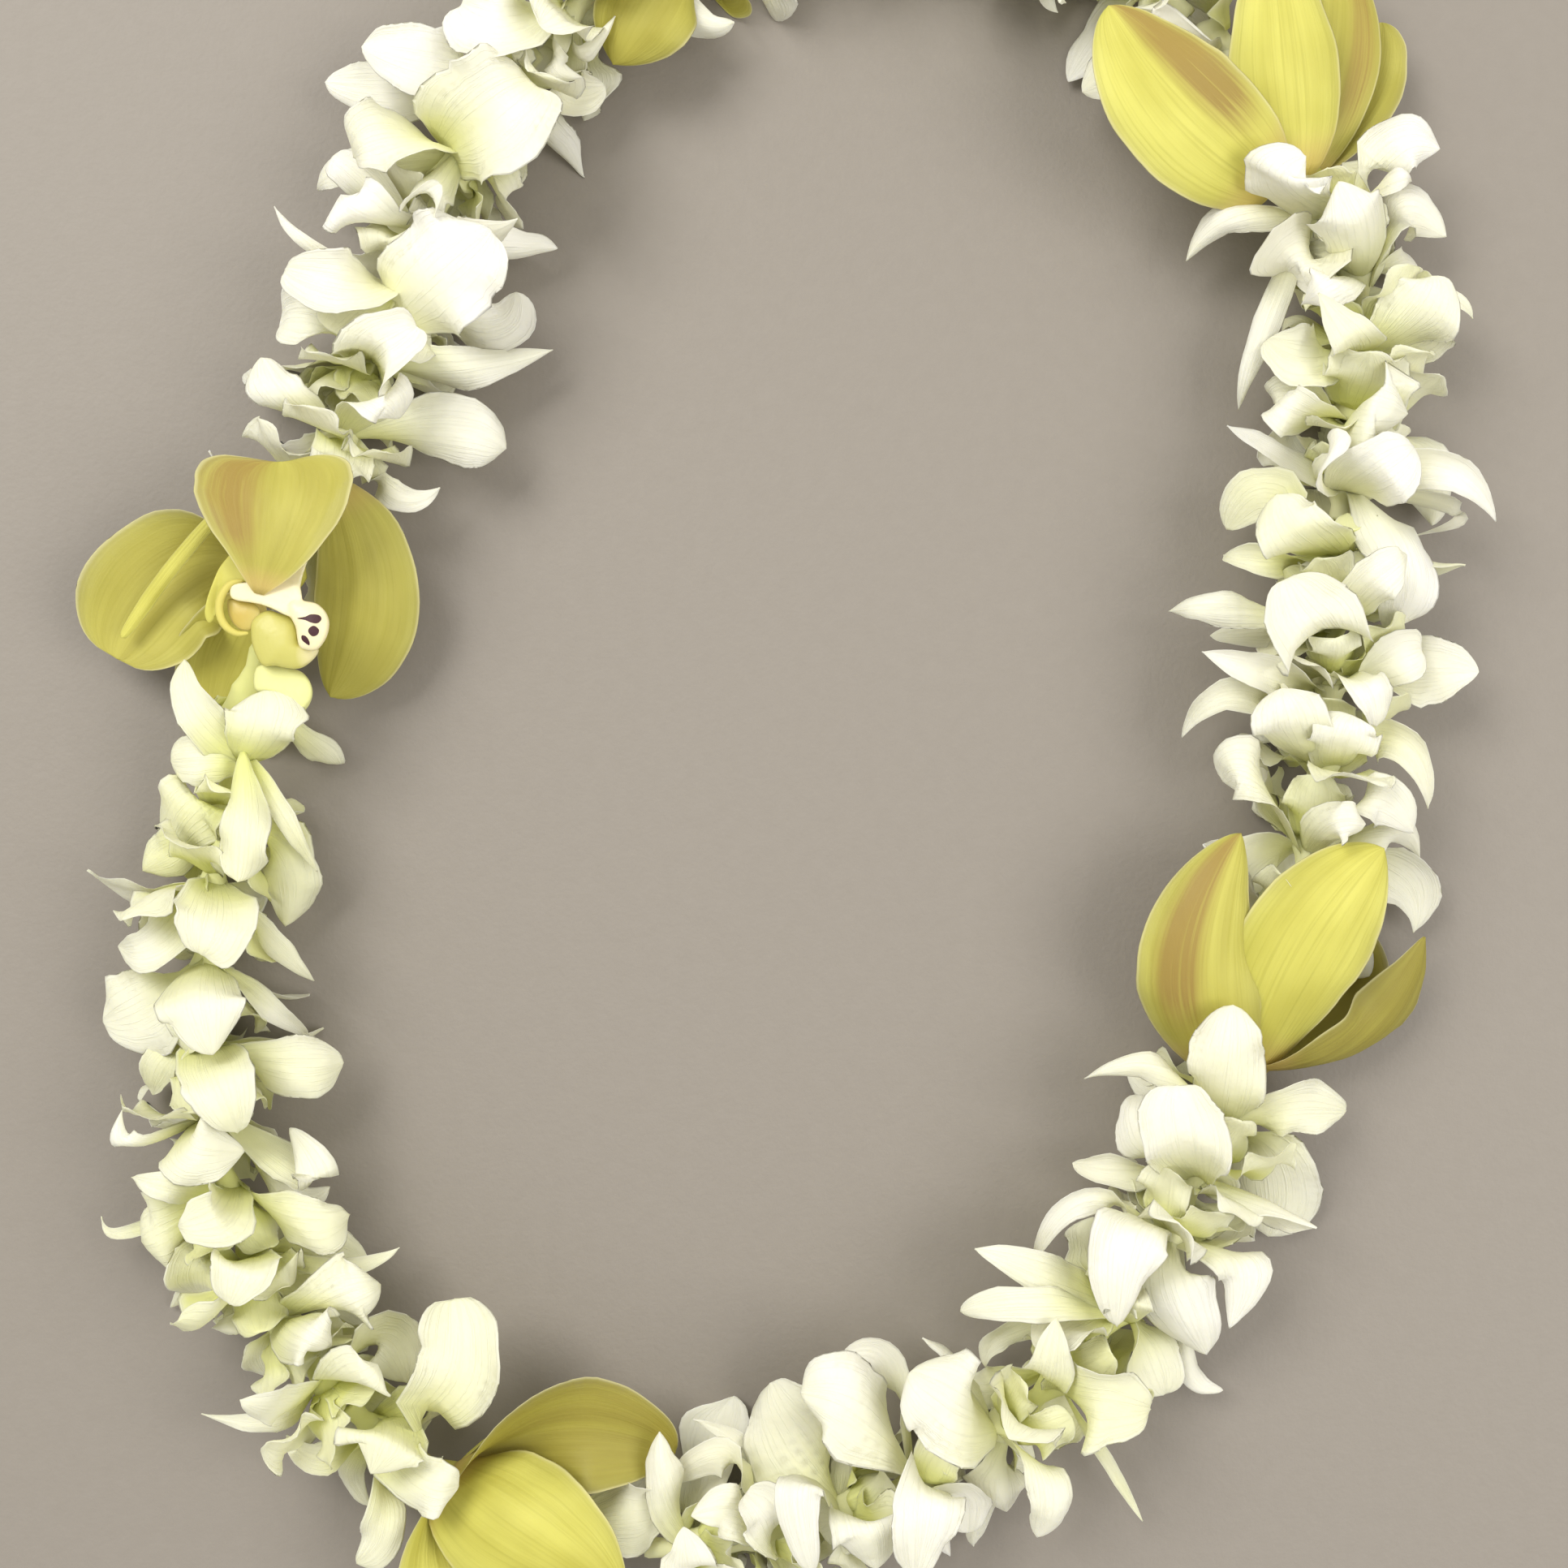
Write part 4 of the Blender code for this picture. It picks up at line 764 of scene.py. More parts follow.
LEFT = [
    ((316, 850), (P, 56, (245, 880, 34), (222, 811, 33)), (P, 90, (320, 890, 40), (326, 855, 37)),
     (S, 46, (245, 936, 27), (204, 915, 23)), (P, 42, (374, 940, 18), (384, 1002, 12)),
     (L, 68, (300, 1020, 37), (297, 1087, 35)), (S, 26, (342, 1000, 28), (391, 1074, 20))),
    ((277, 1003), (P, 76, (238, 992, 25), (199, 1047, 17)),
     (P, 60, (348, 1062, 20), (353, 1136, 12)), (P, 52, (222, 1062, 17), (193, 1090, 12))),
    ((261, 1095), (S, 50, (200, 1160, 29), (133, 1168, 23)),
     (P, 78, (265, 1132, 38), (252, 1170, 38)), (S, 28, (332, 1158, 26), (383, 1203, 18))),
    ((253, 1190), (P, 92, (190, 1244, 23), (137, 1266, 17)),
     (P, 82, (245, 1228, 39), (262, 1288, 37)), (S, 24, (332, 1240, 22), (377, 1272, 14))),
    ((253, 1285), (P, 64, (332, 1322, 33), (409, 1328, 27)),
     (P, 70, (268, 1332, 39), (292, 1388, 35)), (S, 42, (200, 1310, 21), (186, 1352, 15))),
    ((262, 1378), (S, 34, (160, 1412, 30), (152, 1370, 28)),
     (P, 78, (240, 1412, 39), (318, 1422, 35)), (P, 46, (386, 1452, 25), (356, 1390, 25)),
     (P, 40, (350, 1470, 19), (398, 1462, 15))),
    ((279, 1466), (S, 32, (215, 1465, 33), (168, 1451, 29)),
     (P, 56, (266, 1500, 41), (222, 1510, 39)), (P, 82, (205, 1520, 25), (170, 1532, 19)),
     (S, 15, (162, 1518, 12), (132, 1500, 10)), (P, 58, (370, 1510, 31), (431, 1496, 25))),
    ((307, 1550), (S, 20, (420, 1562, 21), (485, 1538, 17)),
     (P, 62, (300, 1562, 39), (286, 1602, 38)), (P, 56, (246, 1556, 24), (236, 1602, 18)),
     (P, 50, (392, 1545, 12), (452, 1560, 8))),
    ((350, 1630), (P, 72, (420, 1605, 35), (456, 1590, 31)),
     (S, 26, (290, 1635, 25), (251, 1640, 21)), (P, 42, (325, 1666, 14), (336, 1697, 10)),
     (L, 62, (372, 1642, 39), (412, 1662, 36))),
    ((400, 1700), (S, 28, (338, 1752, 22), (252, 1740, 21)),
     (P, 72, (470, 1650, 17), (502, 1702, 12)), (P, 62, (440, 1700, 39), (470, 1678, 39))),
    ((458, 1763), (S, 34, (396, 1797, 18), (353, 1768, 16)),
     (P, 108, (556, 1705, 31), (563, 1606, 27)), (P, 82, (486, 1772, 40), (470, 1822, 40)),
     (S, 28, (436, 1832, 16), (459, 1876, 10)), (L, 64, (516, 1826, 37), (562, 1830, 34)),
     (P, 60, (502, 1882, 27), (468, 1928, 23))),
]
print("down the left side:", len(TOP_LEFT) + len(LEFT))

# %% The yellow-green blooms
YS, YP, YF, YL, C = "yellow_sepal", "yellow_petal", "yellow_fan", "yellow_lip", "column"
YELLOW = {
    "bottom": ((545, 1828), 8, ((YP, 118, (690, 1735, 21), (806, 1796, 17)),
        (YP, 150, (640, 1886, 35), (770, 1970, 33)), (YS, 125, (556, 1955, 25), (636, 2050, 23)),
        (YS, 118, (690, 1965, 8), (800, 2010, 6)), (YS, 112, (640, 1795, 7), (770, 1835, 5)))),
    "right": ((1540, 1308), 8, ((YS, 142, (1466, 1175, 34), (1530, 1024, 33)),
        (YP, 118, (1622, 1170, 37), (1706, 1045, 35)),
        (YP, 95, (1692, 1275, 17), (1752, 1154, 20), 55),
        (YS, 118, (1636, 1215, 5), (1672, 1115, 4)), (YS, 112, (1488, 1215, 9), (1530, 1105, 6)))),
    "top_right": ((1580, 172), 8, ((YP, 142, (1462, 112, 38), (1366, 8, 36)),
        (YS, 124, (1565, 52, 33), (1558, -82, 36)), (YP, 110, (1650, 60, 25), (1640, -62, 24), 50),
        (YS, 98, (1672, 120, 12), (1712, 46, 12)), (YS, 112, (1535, 90, 6), (1500, -15, 5)))),
    "top_left": ((850, -100), 8, ((YP, 112, (802, -12, 26), (760, 73, 20)),
        (YS, 104, (872, -25, 20), (848, 47, 14)), (YP, 130, (765, -185, 30), (680, -215, 26)),
        (YS, 140, (745, -110, 39), (640, -125, 36)), (YS, 112, (780, -150, 7), (700, -165, 5)))),
    "left": ((345, 700), 25, ((YP, 160, (205, 690, 15), (112, 790, 13)),
        (YS, 80, (224, 690, 29), (152, 786, 29), 70), (YF, 178, (338, 640, 38), (344, 576, 28)),
        (YP, 140, (462, 700, 21), (440, 858, 13)), (YS, 112, (290, 800, 7), (272, 870, 6)))),
}
MIDDLES = {"left": (Seen(C, 46, (354, 742, 36), (392, 784, 38)),
                    Seen(YL, 92, (352, 788, 28), (340, 822, 31)))}
HIDDEN_MIDDLE = (Guessed(C, 8, 50), Guessed(YL, 20, 40))
DEALT_BY_HAND = {"left": (2, 1, 0, 5, 3)}
STRETCHES = {"bottom": BOTTOM, "right": RIGHT, "top_right": TOP, "top_left": TOP_LEFT,
             "left": LEFT}
print("yellow-green blooms:", len(YELLOW))

# %% The blades that are hidden
SEED = 11
ORCHID = {S: 3, P: 2, L: 1}
HIDDEN_ANGLES = {S: (70, 118), P: (58, 98), L: (30, 70)}
START_SPREAD = 12
END_SPREAD = 25
TWIST_SPREAD = 30
LEAST_SIZE = 0.8
MOST_FACING_UP = 15


def hidden_blades(seen, draw):
    """Blades to go with the seen ones, up to an orchid's three sepals, two petals and lip."""
    made = []
    for kind, count in ORCHID.items():
        start, end = HIDDEN_ANGLES[kind]
        for _ in range(count - sum(wish.kind == kind for wish in seen)):
            made.append(Guessed(kind, start + draw.uniform(-1, 1) * START_SPREAD,
                                end + draw.uniform(-1, 1) * END_SPREAD,
                                draw.uniform(-1, 1) * TWIST_SPREAD, draw.uniform(LEAST_SIZE, 1)))
    draw.shuffle(made)
    return made[:HEX - len(seen)]


def yellow_bloom(name):
    """A yellow-green bloom, and the cream column and lip in front of its middle, as two blooms."""
    place_px, facing_up, rows = YELLOW[name]
    distance = distance_at(*place_px)
    cup = Bloom(f"yellow_bloom_{name}", "yellow_petal", YELLOW_CORE, distance, facing_up,
                [Seen(*row) for row in rows], 0.0, DEALT_BY_HAND.get(name, ()))
    ahead = distance + cup.front + CORE_GAP + COLUMN_CORE.longest_stem
    return [cup, Bloom(f"yellow_column_{name}", "cream_column", COLUMN_CORE, ahead, 0,
                       list(MIDDLES.get(name, HIDDEN_MIDDLE)), cup.roll)]


def string_blooms():
    """Every bloom at its place on the thread, in stringing order."""
    draw = random.Random(SEED)
    blooms = []
    for name, stretch in STRETCHES.items():
        blooms += yellow_bloom(name)
        for number, (place_px, *rows) in enumerate(stretch, 1):
            seen = [Seen(*row) for row in rows]
            blooms.append(Bloom(f"white_bloom_{name}_{number}", "white_petal", WHITE_CORE,
                                distance_at(*place_px), draw.uniform(0, MOST_FACING_UP),
                                seen + hidden_blades(seen, draw), draw.uniform(0, math.tau)))
    for behind, bloom in zip(blooms[-1:] + blooms, blooms):
        bloom.shape_core(behind.distance + behind.front)
    return blooms


print("white blades of an orchid:", sum(ORCHID.values()))

# %% Arrange them all
MATERIAL_ORDER = ("cream_column", "yellow_petal", "white_petal")


def arrange(blooms):
    """Grows every blade clear of the others: the large blooms first, then the white blades that
    show, from the top down, and last the guessed ones."""
    def turn(job):
        bloom, side = job
        wish = bloom.wish_at[side]
        hidden = isinstance(wish, Guessed)
        return (MATERIAL_ORDER.index(bloom.material), hidden, 0 if hidden else -wish.middle[2])

    obstacles, draw = in_place(blooms), random.Random(SEED)
    jobs = [(bloom, side) for bloom in blooms for side in bloom.wish_at]
    for bloom, side in sorted(jobs, key=turn):
        grow(bloom, side, obstacles, draw)


blooms = string_blooms()
by_name = {bloom.name: bloom for bloom in blooms}
arrange(blooms)
print("blooms and columns:", len(blooms), "blades:", sum(len(bloom.blades) for bloom in blooms))

# %% [markdown]
# ## Closer to the photograph
#
# The CAD bends stiff blades until they clear each other. Real petals give way, so here the
# yellow-green blades go where the photograph shows them, and so do the white ones that the CAD
# had to bend far. The white petals in their way are bent aside. Each yellow-green blade also gets
# its own outline and colouring: some have a brown flush beside the midrib, and some are darker
# olive, which is partly their own olive tone and partly painted shade where they lie in shadow.

# %% What some blades have of their own
@dataclass
class Look:
    """What a blade has of its own: its row and its root's spot, how slowly it widens and how
    sharply it ends, where those differ from its kind's. A flush has a strength and runs through
    a pixel. The olive share goes towards a darker olive: partly the blade's own tone, partly
    painted shade where it lies in shadow."""
    row: tuple = ()
    root: tuple = ()
    claw: float = 0.0
    point: float = 0.0
    flush: float = 0.0
    flush_px: tuple = (0, 0)
    olive_and_shade: float = 0.0


# A blade's olive share darkens it towards olive. This is partly its own tone and partly painted
# shade on blades that lie in shadow, most of all the bottom bloom's back tepal and the right
# bloom's two lower ones.
LOOKS = {
    "yellow_bloom_left": {
        0: Look((YP, 150, (230, 705, 15), (144, 812, 13)), claw=0.8, point=0.36, olive_and_shade=0.55),
        1: Look((YS, 17, (208, 704, 23), (151, 785, 18)), root=(276, 624, 27), claw=0.3,
                point=0.25),
        2: Look((YF, 162, (336, 636, 38.5), (344, 570, 33)), root=(321, 722, 37.4), claw=0.98,
                point=0.34, flush=1.5, flush_px=(286, 632), olive_and_shade=0.6),
        3: Look((YP, 116, (448, 736, 21), (406, 860, 13)), root=(414, 606, 23), claw=0.72,
                point=0.56, olive_and_shade=0.55),
        4: Look((YS, 90, (272, 806, 12), (262, 873, 9)), root=(312, 738, 19), claw=0.6, point=0.5,
                olive_and_shade=0.3)},
    "yellow_bloom_right": {
        0: Look((YS, 126, (1477, 1180, 34), (1530, 1026, 33)), root=(1504, 1312, 22), claw=0.42,
                point=0.66, flush=1.6, flush_px=(1462, 1140), olive_and_shade=0.4),
        1: Look((YP, 132, (1612, 1162, 36), (1706, 1045, 35)), claw=0.7, point=0.66),
        2: Look((YP, 104, (1690, 1278, 17), (1754, 1154, 20), 40), claw=0.6, point=0.7, olive_and_shade=1.0),
        3: Look(olive_and_shade=0.9),
        4: Look((YS, 90, (1510, 1232, 13), (1520, 1150, 9)), olive_and_shade=0.5)},
    "yellow_bloom_top_right": {
        0: Look((YP, 138, (1450, 124, 38), (1366, 11, 36)), root=(1560, 222, 25), claw=0.5,
                point=0.62, flush=1.8, flush_px=(1474, 80)),
        1: Look((YS, 116, (1582, 50, 30), (1566, -84, 32)), root=(1597, 206, 22), claw=0.62),
        2: Look((YP, 84, (1654, 72, 19), (1648, -62, 18), 10), root=(1608, 206, 18), claw=0.6,
                point=0.6, flush=1.1, flush_px=(1681, 60), olive_and_shade=0.45),
        3: Look((YS, 78, (1678, 112, 11), (1702, 28, 9)), root=(1612, 206, 14), claw=0.6, point=0.6,
                olive_and_shade=0.4)},
    "yellow_bloom_bottom": {
        0: Look((YP, 132, (694, 1762, 21), (832, 1790, 17)), claw=0.5, point=0.55, olive_and_shade=0.95),
        1: Look(claw=0.6, point=0.66)},
    "yellow_bloom_top_left": {
        0: Look(olive_and_shade=0.5)},
    "yellow_column_top_right": {
        0: Look((C, 40, (1592, 128, 18), (1588, 92, 16))),
        1: Look((YL, 66, (1572, 150, 12), (1562, 118, 10)))},
    "white_bloom_left_1": {
        0: Look((P, 44, (243, 876, 31), (222, 808, 31)), root=(299, 930, 24), claw=0.45,
                point=0.75),
        1: Look((P, 72, (322, 893, 33), (326, 852, 30)), root=(303, 934, 25), claw=0.4, point=0.24),
        2: Look((S, 52, (250, 935, 27), (206, 938, 23)), root=(299, 936, 22), claw=0.4, point=0.28),
        4: Look((L, 52, (300, 1010, 36), (294, 1085, 33)), root=(300, 930, 28), claw=0.9,
                point=0.35),
        5: Look((S, 22, (345, 1000, 28), (391, 1074, 20)), root=(308, 938, 24))},
    "white_bloom_right_10": {
        3: Look((P, 58, (1728, 262, 19), (1780, 292, 16)))},
    "white_bloom_top_left_4": {
        0: Look((P, 112, (606, 140, 35), (662, 98, 33)), root=(554, 180, 20), claw=0.5, point=0.4)},
    "white_bloom_top_left_6": {
        0: Look((P, 112, (540, 334, 38), (602, 284, 36)), root=(486, 390, 22), claw=0.5,
                point=0.4)},
    "white_bloom_left_11": {
        1: Look((P, 80, (556, 1703, 31), (561, 1604, 27)), claw=0.58, point=0.34),
        5: Look((P, 44, (474, 1874, 24), (442, 1922, 20)))},
}
NO_LOOK = Look()
print("blooms with looks of their own:", len(LOOKS))

# %% Give them their looks
def reshaped(bloom, side, look):
    """The blade as its look asks for it."""
    if look.row:
        bloom.wish_at[side] = Seen(*look.row)
        bloom.blades[side] = bloom.wished_blade(side)
    if look.root:
        across = bloom.blades[side].across[1]
        bloom.blades[side] = bloom.wish_at[side].blade(spot(*look.root), across)
    blade = bloom.blades[side]
    form = replace(blade.form, claw=look.claw or blade.form.claw,
                   point=look.point or blade.form.point)
    return replace(blade, form=form)


looks, moved = {}, {}
for name, own in LOOKS.items():
    bloom = by_name[name]
    dealt = {bloom.wishes.index(wish): side for side, wish in bloom.wish_at.items()}
    for number, look in own.items():
        side = dealt[number]
        bloom.blades[side] = reshaped(bloom, side, look)
        looks[name, side] = look
        if look.row or look.claw:
            shell = blade_shell(bloom.blades[side], bloom.root(side), CLEARANCE)
            moved[name, side] = Obstacle(*shell)
print("blades with a look of their own:", len(looks))

# %% Let the white petals make way
def in_the_way(bloom, side):
    """Whether a blade crosses one that was moved."""
    shell = Obstacle(*blade_shell(bloom.blades[side], bloom.root(side)))
    return any(blade.meets(shell) for blade in moved.values())


del by_name["white_bloom_right_1"].blades[0]  # hidden, but its tip would come through a tepal
pushed = [(bloom, side) for bloom in blooms if bloom.material == "white_petal"
          for side in bloom.blades if (bloom.name, side) not in moved and in_the_way(bloom, side)]
obstacles = in_place(blooms, {(bloom.name, side) for bloom, side in pushed})
draw = random.Random(SEED)
for bloom, side in pushed:
    del bloom.blades[side]
    grow(bloom, side, obstacles, draw)
print("white petals that made way:", len(pushed))

# %% [markdown]
# ## Throats and inner petals
#
# The CAD's blooms have six blades each, which keeps their solids light. Here is room for the rest
# of what makes the lei look full. Round its mouth a dendrobium's lip and the bases of its petals
# make a pale green bell, and the next bloom's stem sits in it. In front of the petals and behind
# them are more petals, of the blooms that are pressed together there. Room is found for them in
# the same way, after the larger blades. One long sepal shows in the photograph, but the CAD had no
# room for it, so it comes back here.

# %% What the extra whorls are
THROAT = Form(0.0165, 0.0125, 0.34, 0.26, 0.30, (0.30, 0.65, 0.92), 3, 0.0006)
INNER = Form(0.0250, 0.0190, 0.50, 0.40, -0.10, (0.20, 0.46, 0.74, 0.94), 3, 0.0006)
FORMS.update(throat=THROAT, inner=INNER)
HALF_ROOT = 0.0009


@dataclass
class Whorl:
    """Blades of one kind round the core: how far ahead of the belt and how far out they grow,
    the ranges of their angles from the way the bloom faces, and of their size."""
    kind: str
    ahead: float
    radius: float
    turned: float
    start: tuple
    end: tuple
    size: tuple


WHORLS = (
    Whorl("throat", 0.0034, 0.0055, 0.0, (34, 50), (14, 62), (0.85, 1.15)),
    Whorl("inner", 0.0024, 0.0052, 0.5, (48, 78), (62, 112), (0.70, 1.0)),
    Whorl("inner", -0.0026, 0.0044, 0.5, (84, 104), (98, 150), (0.70, 1.0)),
    Whorl("inner", 0.0004, 0.0048, 0.0, (62, 92), (48, 96), (0.75, 1.05)),
)
print("extra whorls on a white bloom:", len(WHORLS))

# %% Where an extra blade may not show
YELLOW_ROOM = 0.0115
YELLOW_ALONG = (0.2, 0.35, 0.5, 0.65, 0.8, 0.95)
FURTHEST_OUT = 0.0160
LEFT_CLEAR = ((300, 805, 70), (200, 845, 40), (350, 850, 30), (214, 598, 40), (515, 655, 45),
              (1530, 60, 45))
CLEAR_ALONG = (0.5, 1.0)
CLEAR_HEIGHT = 0.02
yellow_spots = [section(blade, t)[0].xy for bloom in blooms if bloom.material == "yellow_petal"
                for blade in bloom.blades.values() for t in YELLOW_ALONG]


def shows_wrongly(blade):
    """Whether its tip shows among a yellow-green bloom's petals or outside the lei's outline, or
    the blade shows where the photograph has none."""
    tip = blade.midrib[3].xy
    if any((tip - other).length < YELLOW_ROOM for other in yellow_spots):
        return True
    if all((tip - bloom.frame.origin.xy).length > FURTHEST_OUT for bloom in blooms):
        return True
    return any((section(blade, t)[0].xy - place(x, y, CLEAR_HEIGHT).xy).length
               < radius * METRES_PER_PX for x, y, radius in LEFT_CLEAR for t in CLEAR_ALONG)


print("spots that are kept for yellow-green petals:", len(yellow_spots))

# %% Find room for the extra whorls
EXTRA_TRIES = 90
EXTRA_EFFORT = 0.6
EXTRA_TWIST = 25
SQUARE = ((-1, -1), (1, -1), (1, 1), (-1, 1))


def free_root(bloom, whorl, angle):
    """Four corners for a root that stands just off the core."""
    radial = bloom.radial(angle)
    around = bloom.facing.cross(radial) * HALF_ROOT
    ahead = bloom.facing * HALF_ROOT
    middle = bloom.frame.origin + bloom.facing * whorl.ahead + radial * whorl.radius
    return [middle + around * a + ahead * b for a, b in SQUARE]


def grow_extra(bloom, whorl, side, obstacles, draw):
    """One extra blade, or nothing where there is no room."""
    angle = bloom.roll + (side + whorl.turned) * SIDE_ANGLE
    root, radial = free_root(bloom, whorl, angle), bloom.radial(angle)
    wish = Guessed(whorl.kind, draw.uniform(*whorl.start), draw.uniform(*whorl.end),
                   draw.uniform(-EXTRA_TWIST, EXTRA_TWIST), draw.uniform(*whorl.size))
    wished = wish.blade(mean(root), bloom.facing.cross(radial), bloom.facing, radial)
    return find_room(wished, root, obstacles, draw, EXTRA_TRIES, EXTRA_EFFORT, shows_wrongly)


print("most tries for an extra blade:", EXTRA_TRIES)

# %% Fill the lei out
ALSO_SEEN = {"white_bloom_right_11": Seen(S, 28, (1560, 395, 24), (1526, 510, 16))}
obstacles = in_place(blooms)
extras = {name: [] for name in by_name}
for name, wish in ALSO_SEEN.items():
    bloom = by_name[name]
    angle = wish.bearing(bloom)
    root = free_root(bloom, WHORLS[0], angle)
    blade = wish.blade(mean(root), bloom.facing.cross(bloom.radial(angle)))
    extras[name].append(blade)
    obstacles.append(Obstacle(*blade_shell(blade, root)))
draw = random.Random(SEED)
white_blooms = [bloom for bloom in blooms if bloom.material == "white_petal"]
for whorl, bloom, side in itertools.product(WHORLS, white_blooms, range(HEX)):
    blade = grow_extra(bloom, whorl, side, obstacles, draw)
    if blade:
        extras[bloom.name].append(blade)
print("extra blades:", sum(len(blades) for blades in extras.values()))

# %% [markdown]
# ## Sums in node trees
#
# The petals' shape is a formula, and Geometry Nodes can work it out for every point at once. A
# formula of so many nodes is hard to read as links, so this helper lets a sum in a tree be written
# as a sum in Python. Each `Field` is one socket, and adding two of them adds a Math node.

# %% Fields that can be added and multiplied
def sum_of(operation, swapped=False):
    """A method that adds the node for an operation, on its two sides or on them swapped."""
    def method(self, other):
        return combined(operation, other, self) if swapped else combined(operation, self, other)
    return method


class Field:
    """One socket of a node tree, with the sums that can be made of it."""
    __add__ = __radd__ = sum_of("ADD")
    __sub__, __rsub__ = sum_of("SUBTRACT"), sum_of("SUBTRACT", swapped=True)
    __mul__ = __rmul__ = sum_of("MULTIPLY")
    __truediv__, __pow__ = sum_of("DIVIDE"), sum_of("POWER")

    def __init__(self, tree, socket):
        self.tree, self.socket = tree, socket


def feed(tree, socket, value):
    """Links a field to a socket, or sets the socket's own value."""
    if isinstance(value, Field):
        tree.links.new(value.socket, socket)
    else:
        socket.default_value = value


def added(tree, kind, feeds=(), output=0, **settings):
    """Adds one node, sets it up, feeds its sockets, and returns its output as a field."""
    made = tree.nodes.new(kind)
    for name, value in settings.items():
        setattr(made, name, value)
    for name, value in dict(feeds).items():
        feed(tree, made.inputs[name], value)
    return Field(tree, made.outputs[output])


def combined(operation, a, b=0.0):
    """The node for a sum of numbers, of vectors, or of a vector and a number."""
    fields = [x for x in (a, b) if isinstance(x, Field)]
    tree, vectors = fields[0].tree, [x for x in fields if x.socket.type == "VECTOR"]
    if not vectors:
        return added(tree, "ShaderNodeMath", {0: a, 1: b}, operation=operation)
    if operation == "MULTIPLY" and len(vectors) == 1:
        return added(tree, "ShaderNodeVectorMath", {0: a, "Scale": b}, operation="SCALE")
    return added(tree, "ShaderNodeVectorMath", {0: a, 1: b}, operation=operation)


def clamped(a):
    """The field, kept from 0 to 1."""
    return combined("MINIMUM", combined("MAXIMUM", a, 0.0), 1.0)


def ramp(a, low, high):
    """0 below low, 1 above high, and smooth between. It runs backwards where low is the higher."""
    share = clamped((a - low) * (1 / (high - low)))
    return share * share * (3.0 - share * 2.0)


def dot(a, b):
    return added(a.tree, "ShaderNodeVectorMath", {0: a, 1: b}, "Value", operation="DOT_PRODUCT")


def unit(a):
    """The vector at a length of one."""
    return added(a.tree, "ShaderNodeVectorMath", {0: a}, operation="NORMALIZE")


def parts(a):
    """The x, y and z of a vector field."""
    made = a.tree.nodes.new("ShaderNodeSeparateXYZ")
    feed(a.tree, made.inputs[0], a)
    return [Field(a.tree, socket) for socket in made.outputs]


print("node trees so far:", len(bpy.data.node_groups))

# %% [markdown]
# ## The petal tree
#
# One Geometry Nodes tree grows every sepal, petal and lip of a bloom. Its input has one loose point
# for each blade, which carries the blade's Bezier curve, width and so on as attributes. The tree
# puts a closed tube on each point and then moves every point of the tube to its place on the
# blade. A tube is used because a petal is a thin solid with a face and a back, so nothing has to be
# thickened later. The rest of the input is the bloom's core, and passes through.

# %% Names and numbers of the petal tree
VECTORS = ("rib_root", "rib_leaving", "rib_arriving", "rib_tip", "across_root", "across_tip")
KEPT = ("along", "aside", "facing", "tint", "green", "flush", "flush_at")
NUMBERS = ("width", "claw", "point", "cup", "fold", "curl", "thickness", "ruffle", "is_blade",
           *KEPT)
ROOT_INSIDE = 0.05
TIP_CROWDING = 1.5
SMALLEST_HALF = 0.00018


def sizes(tree, **kinds):
    """Gives the tree its geometry in and out, and a named input for each size."""
    tree.interface.new_socket("Geometry", in_out="INPUT", socket_type="NodeSocketGeometry")
    for name, kind in kinds.items():
        tree.interface.new_socket(name, in_out="INPUT", socket_type=f"NodeSocket{kind}")
    tree.interface.new_socket("Geometry", in_out="OUTPUT", socket_type="NodeSocketGeometry")
    group = tree.nodes.new("NodeGroupInput")
    return {socket.name: Field(tree, socket) for socket in group.outputs if socket.name}


def attributes(tree, *names, kind="FLOAT"):
    """Attributes of the geometry, as fields."""
    found = []
    for name in names:
        made = tree.nodes.new("GeometryNodeInputNamedAttribute")
        made.data_type = kind
        made.inputs["Name"].default_value = name
        socket = next(s for s in made.outputs if s.name == "Attribute" and s.enabled)
        found.append(Field(tree, socket))
    return found


def stored(tree, geometry, name, value):
    """The geometry with a number of its own at each point."""
    return added(tree, "GeometryNodeStoreNamedAttribute",
                 {"Geometry": geometry, "Name": name, "Value": value},
                 data_type="FLOAT", domain="POINT")


def ended(tree, geometry, finish):
    """Ends a tree: smooth faces that are real and have their finish."""
    smooth = added(tree, "GeometryNodeSetShadeSmooth", {"Geometry": geometry})
    real = added(tree, "GeometryNodeRealizeInstances", {"Geometry": smooth})
    done = added(tree, "GeometryNodeSetMaterial", {"Geometry": real, "Material": finish})
    tree.links.new(done.socket, tree.nodes.new("NodeGroupOutput").inputs[0])


print("attributes of a blade:", len(VECTORS) + len(NUMBERS))

# %% The tube that each petal is bent from
def blade_tubes(tree, given):
    """A closed tube on each blade's point. Each point of it knows how far along the blade it is,
    how far aside, and whether it is on the face or the back."""
    tube = added(tree, "GeometryNodeMeshCylinder",
                 {"Vertices": given["Ring"], "Side Segments": given["Rows"], "Radius": 1.0,
                  "Depth": 1.0}, fill_type="NGON")
    x, y, z = parts(added(tree, "GeometryNodeInputPosition"))
    climbed = 1.0 - (0.5 - z) ** TIP_CROWDING
    tube = stored(tree, tube, "along", climbed * (1 + ROOT_INSIDE) - ROOT_INSIDE)
    tube = stored(tree, tube, "aside", x)
    tube = stored(tree, tube, "facing", y)
    is_blade, = attributes(tree, "is_blade")
    chosen = combined("GREATER_THAN", is_blade, 0.5)
    made = added(tree, "GeometryNodeInstanceOnPoints",
                 {"Points": given["Geometry"], "Selection": chosen, "Instance": tube})
    return added(tree, "GeometryNodeRealizeInstances", {"Geometry": made})


print("the last rows crowd to the tip with the power", TIP_CROWDING)

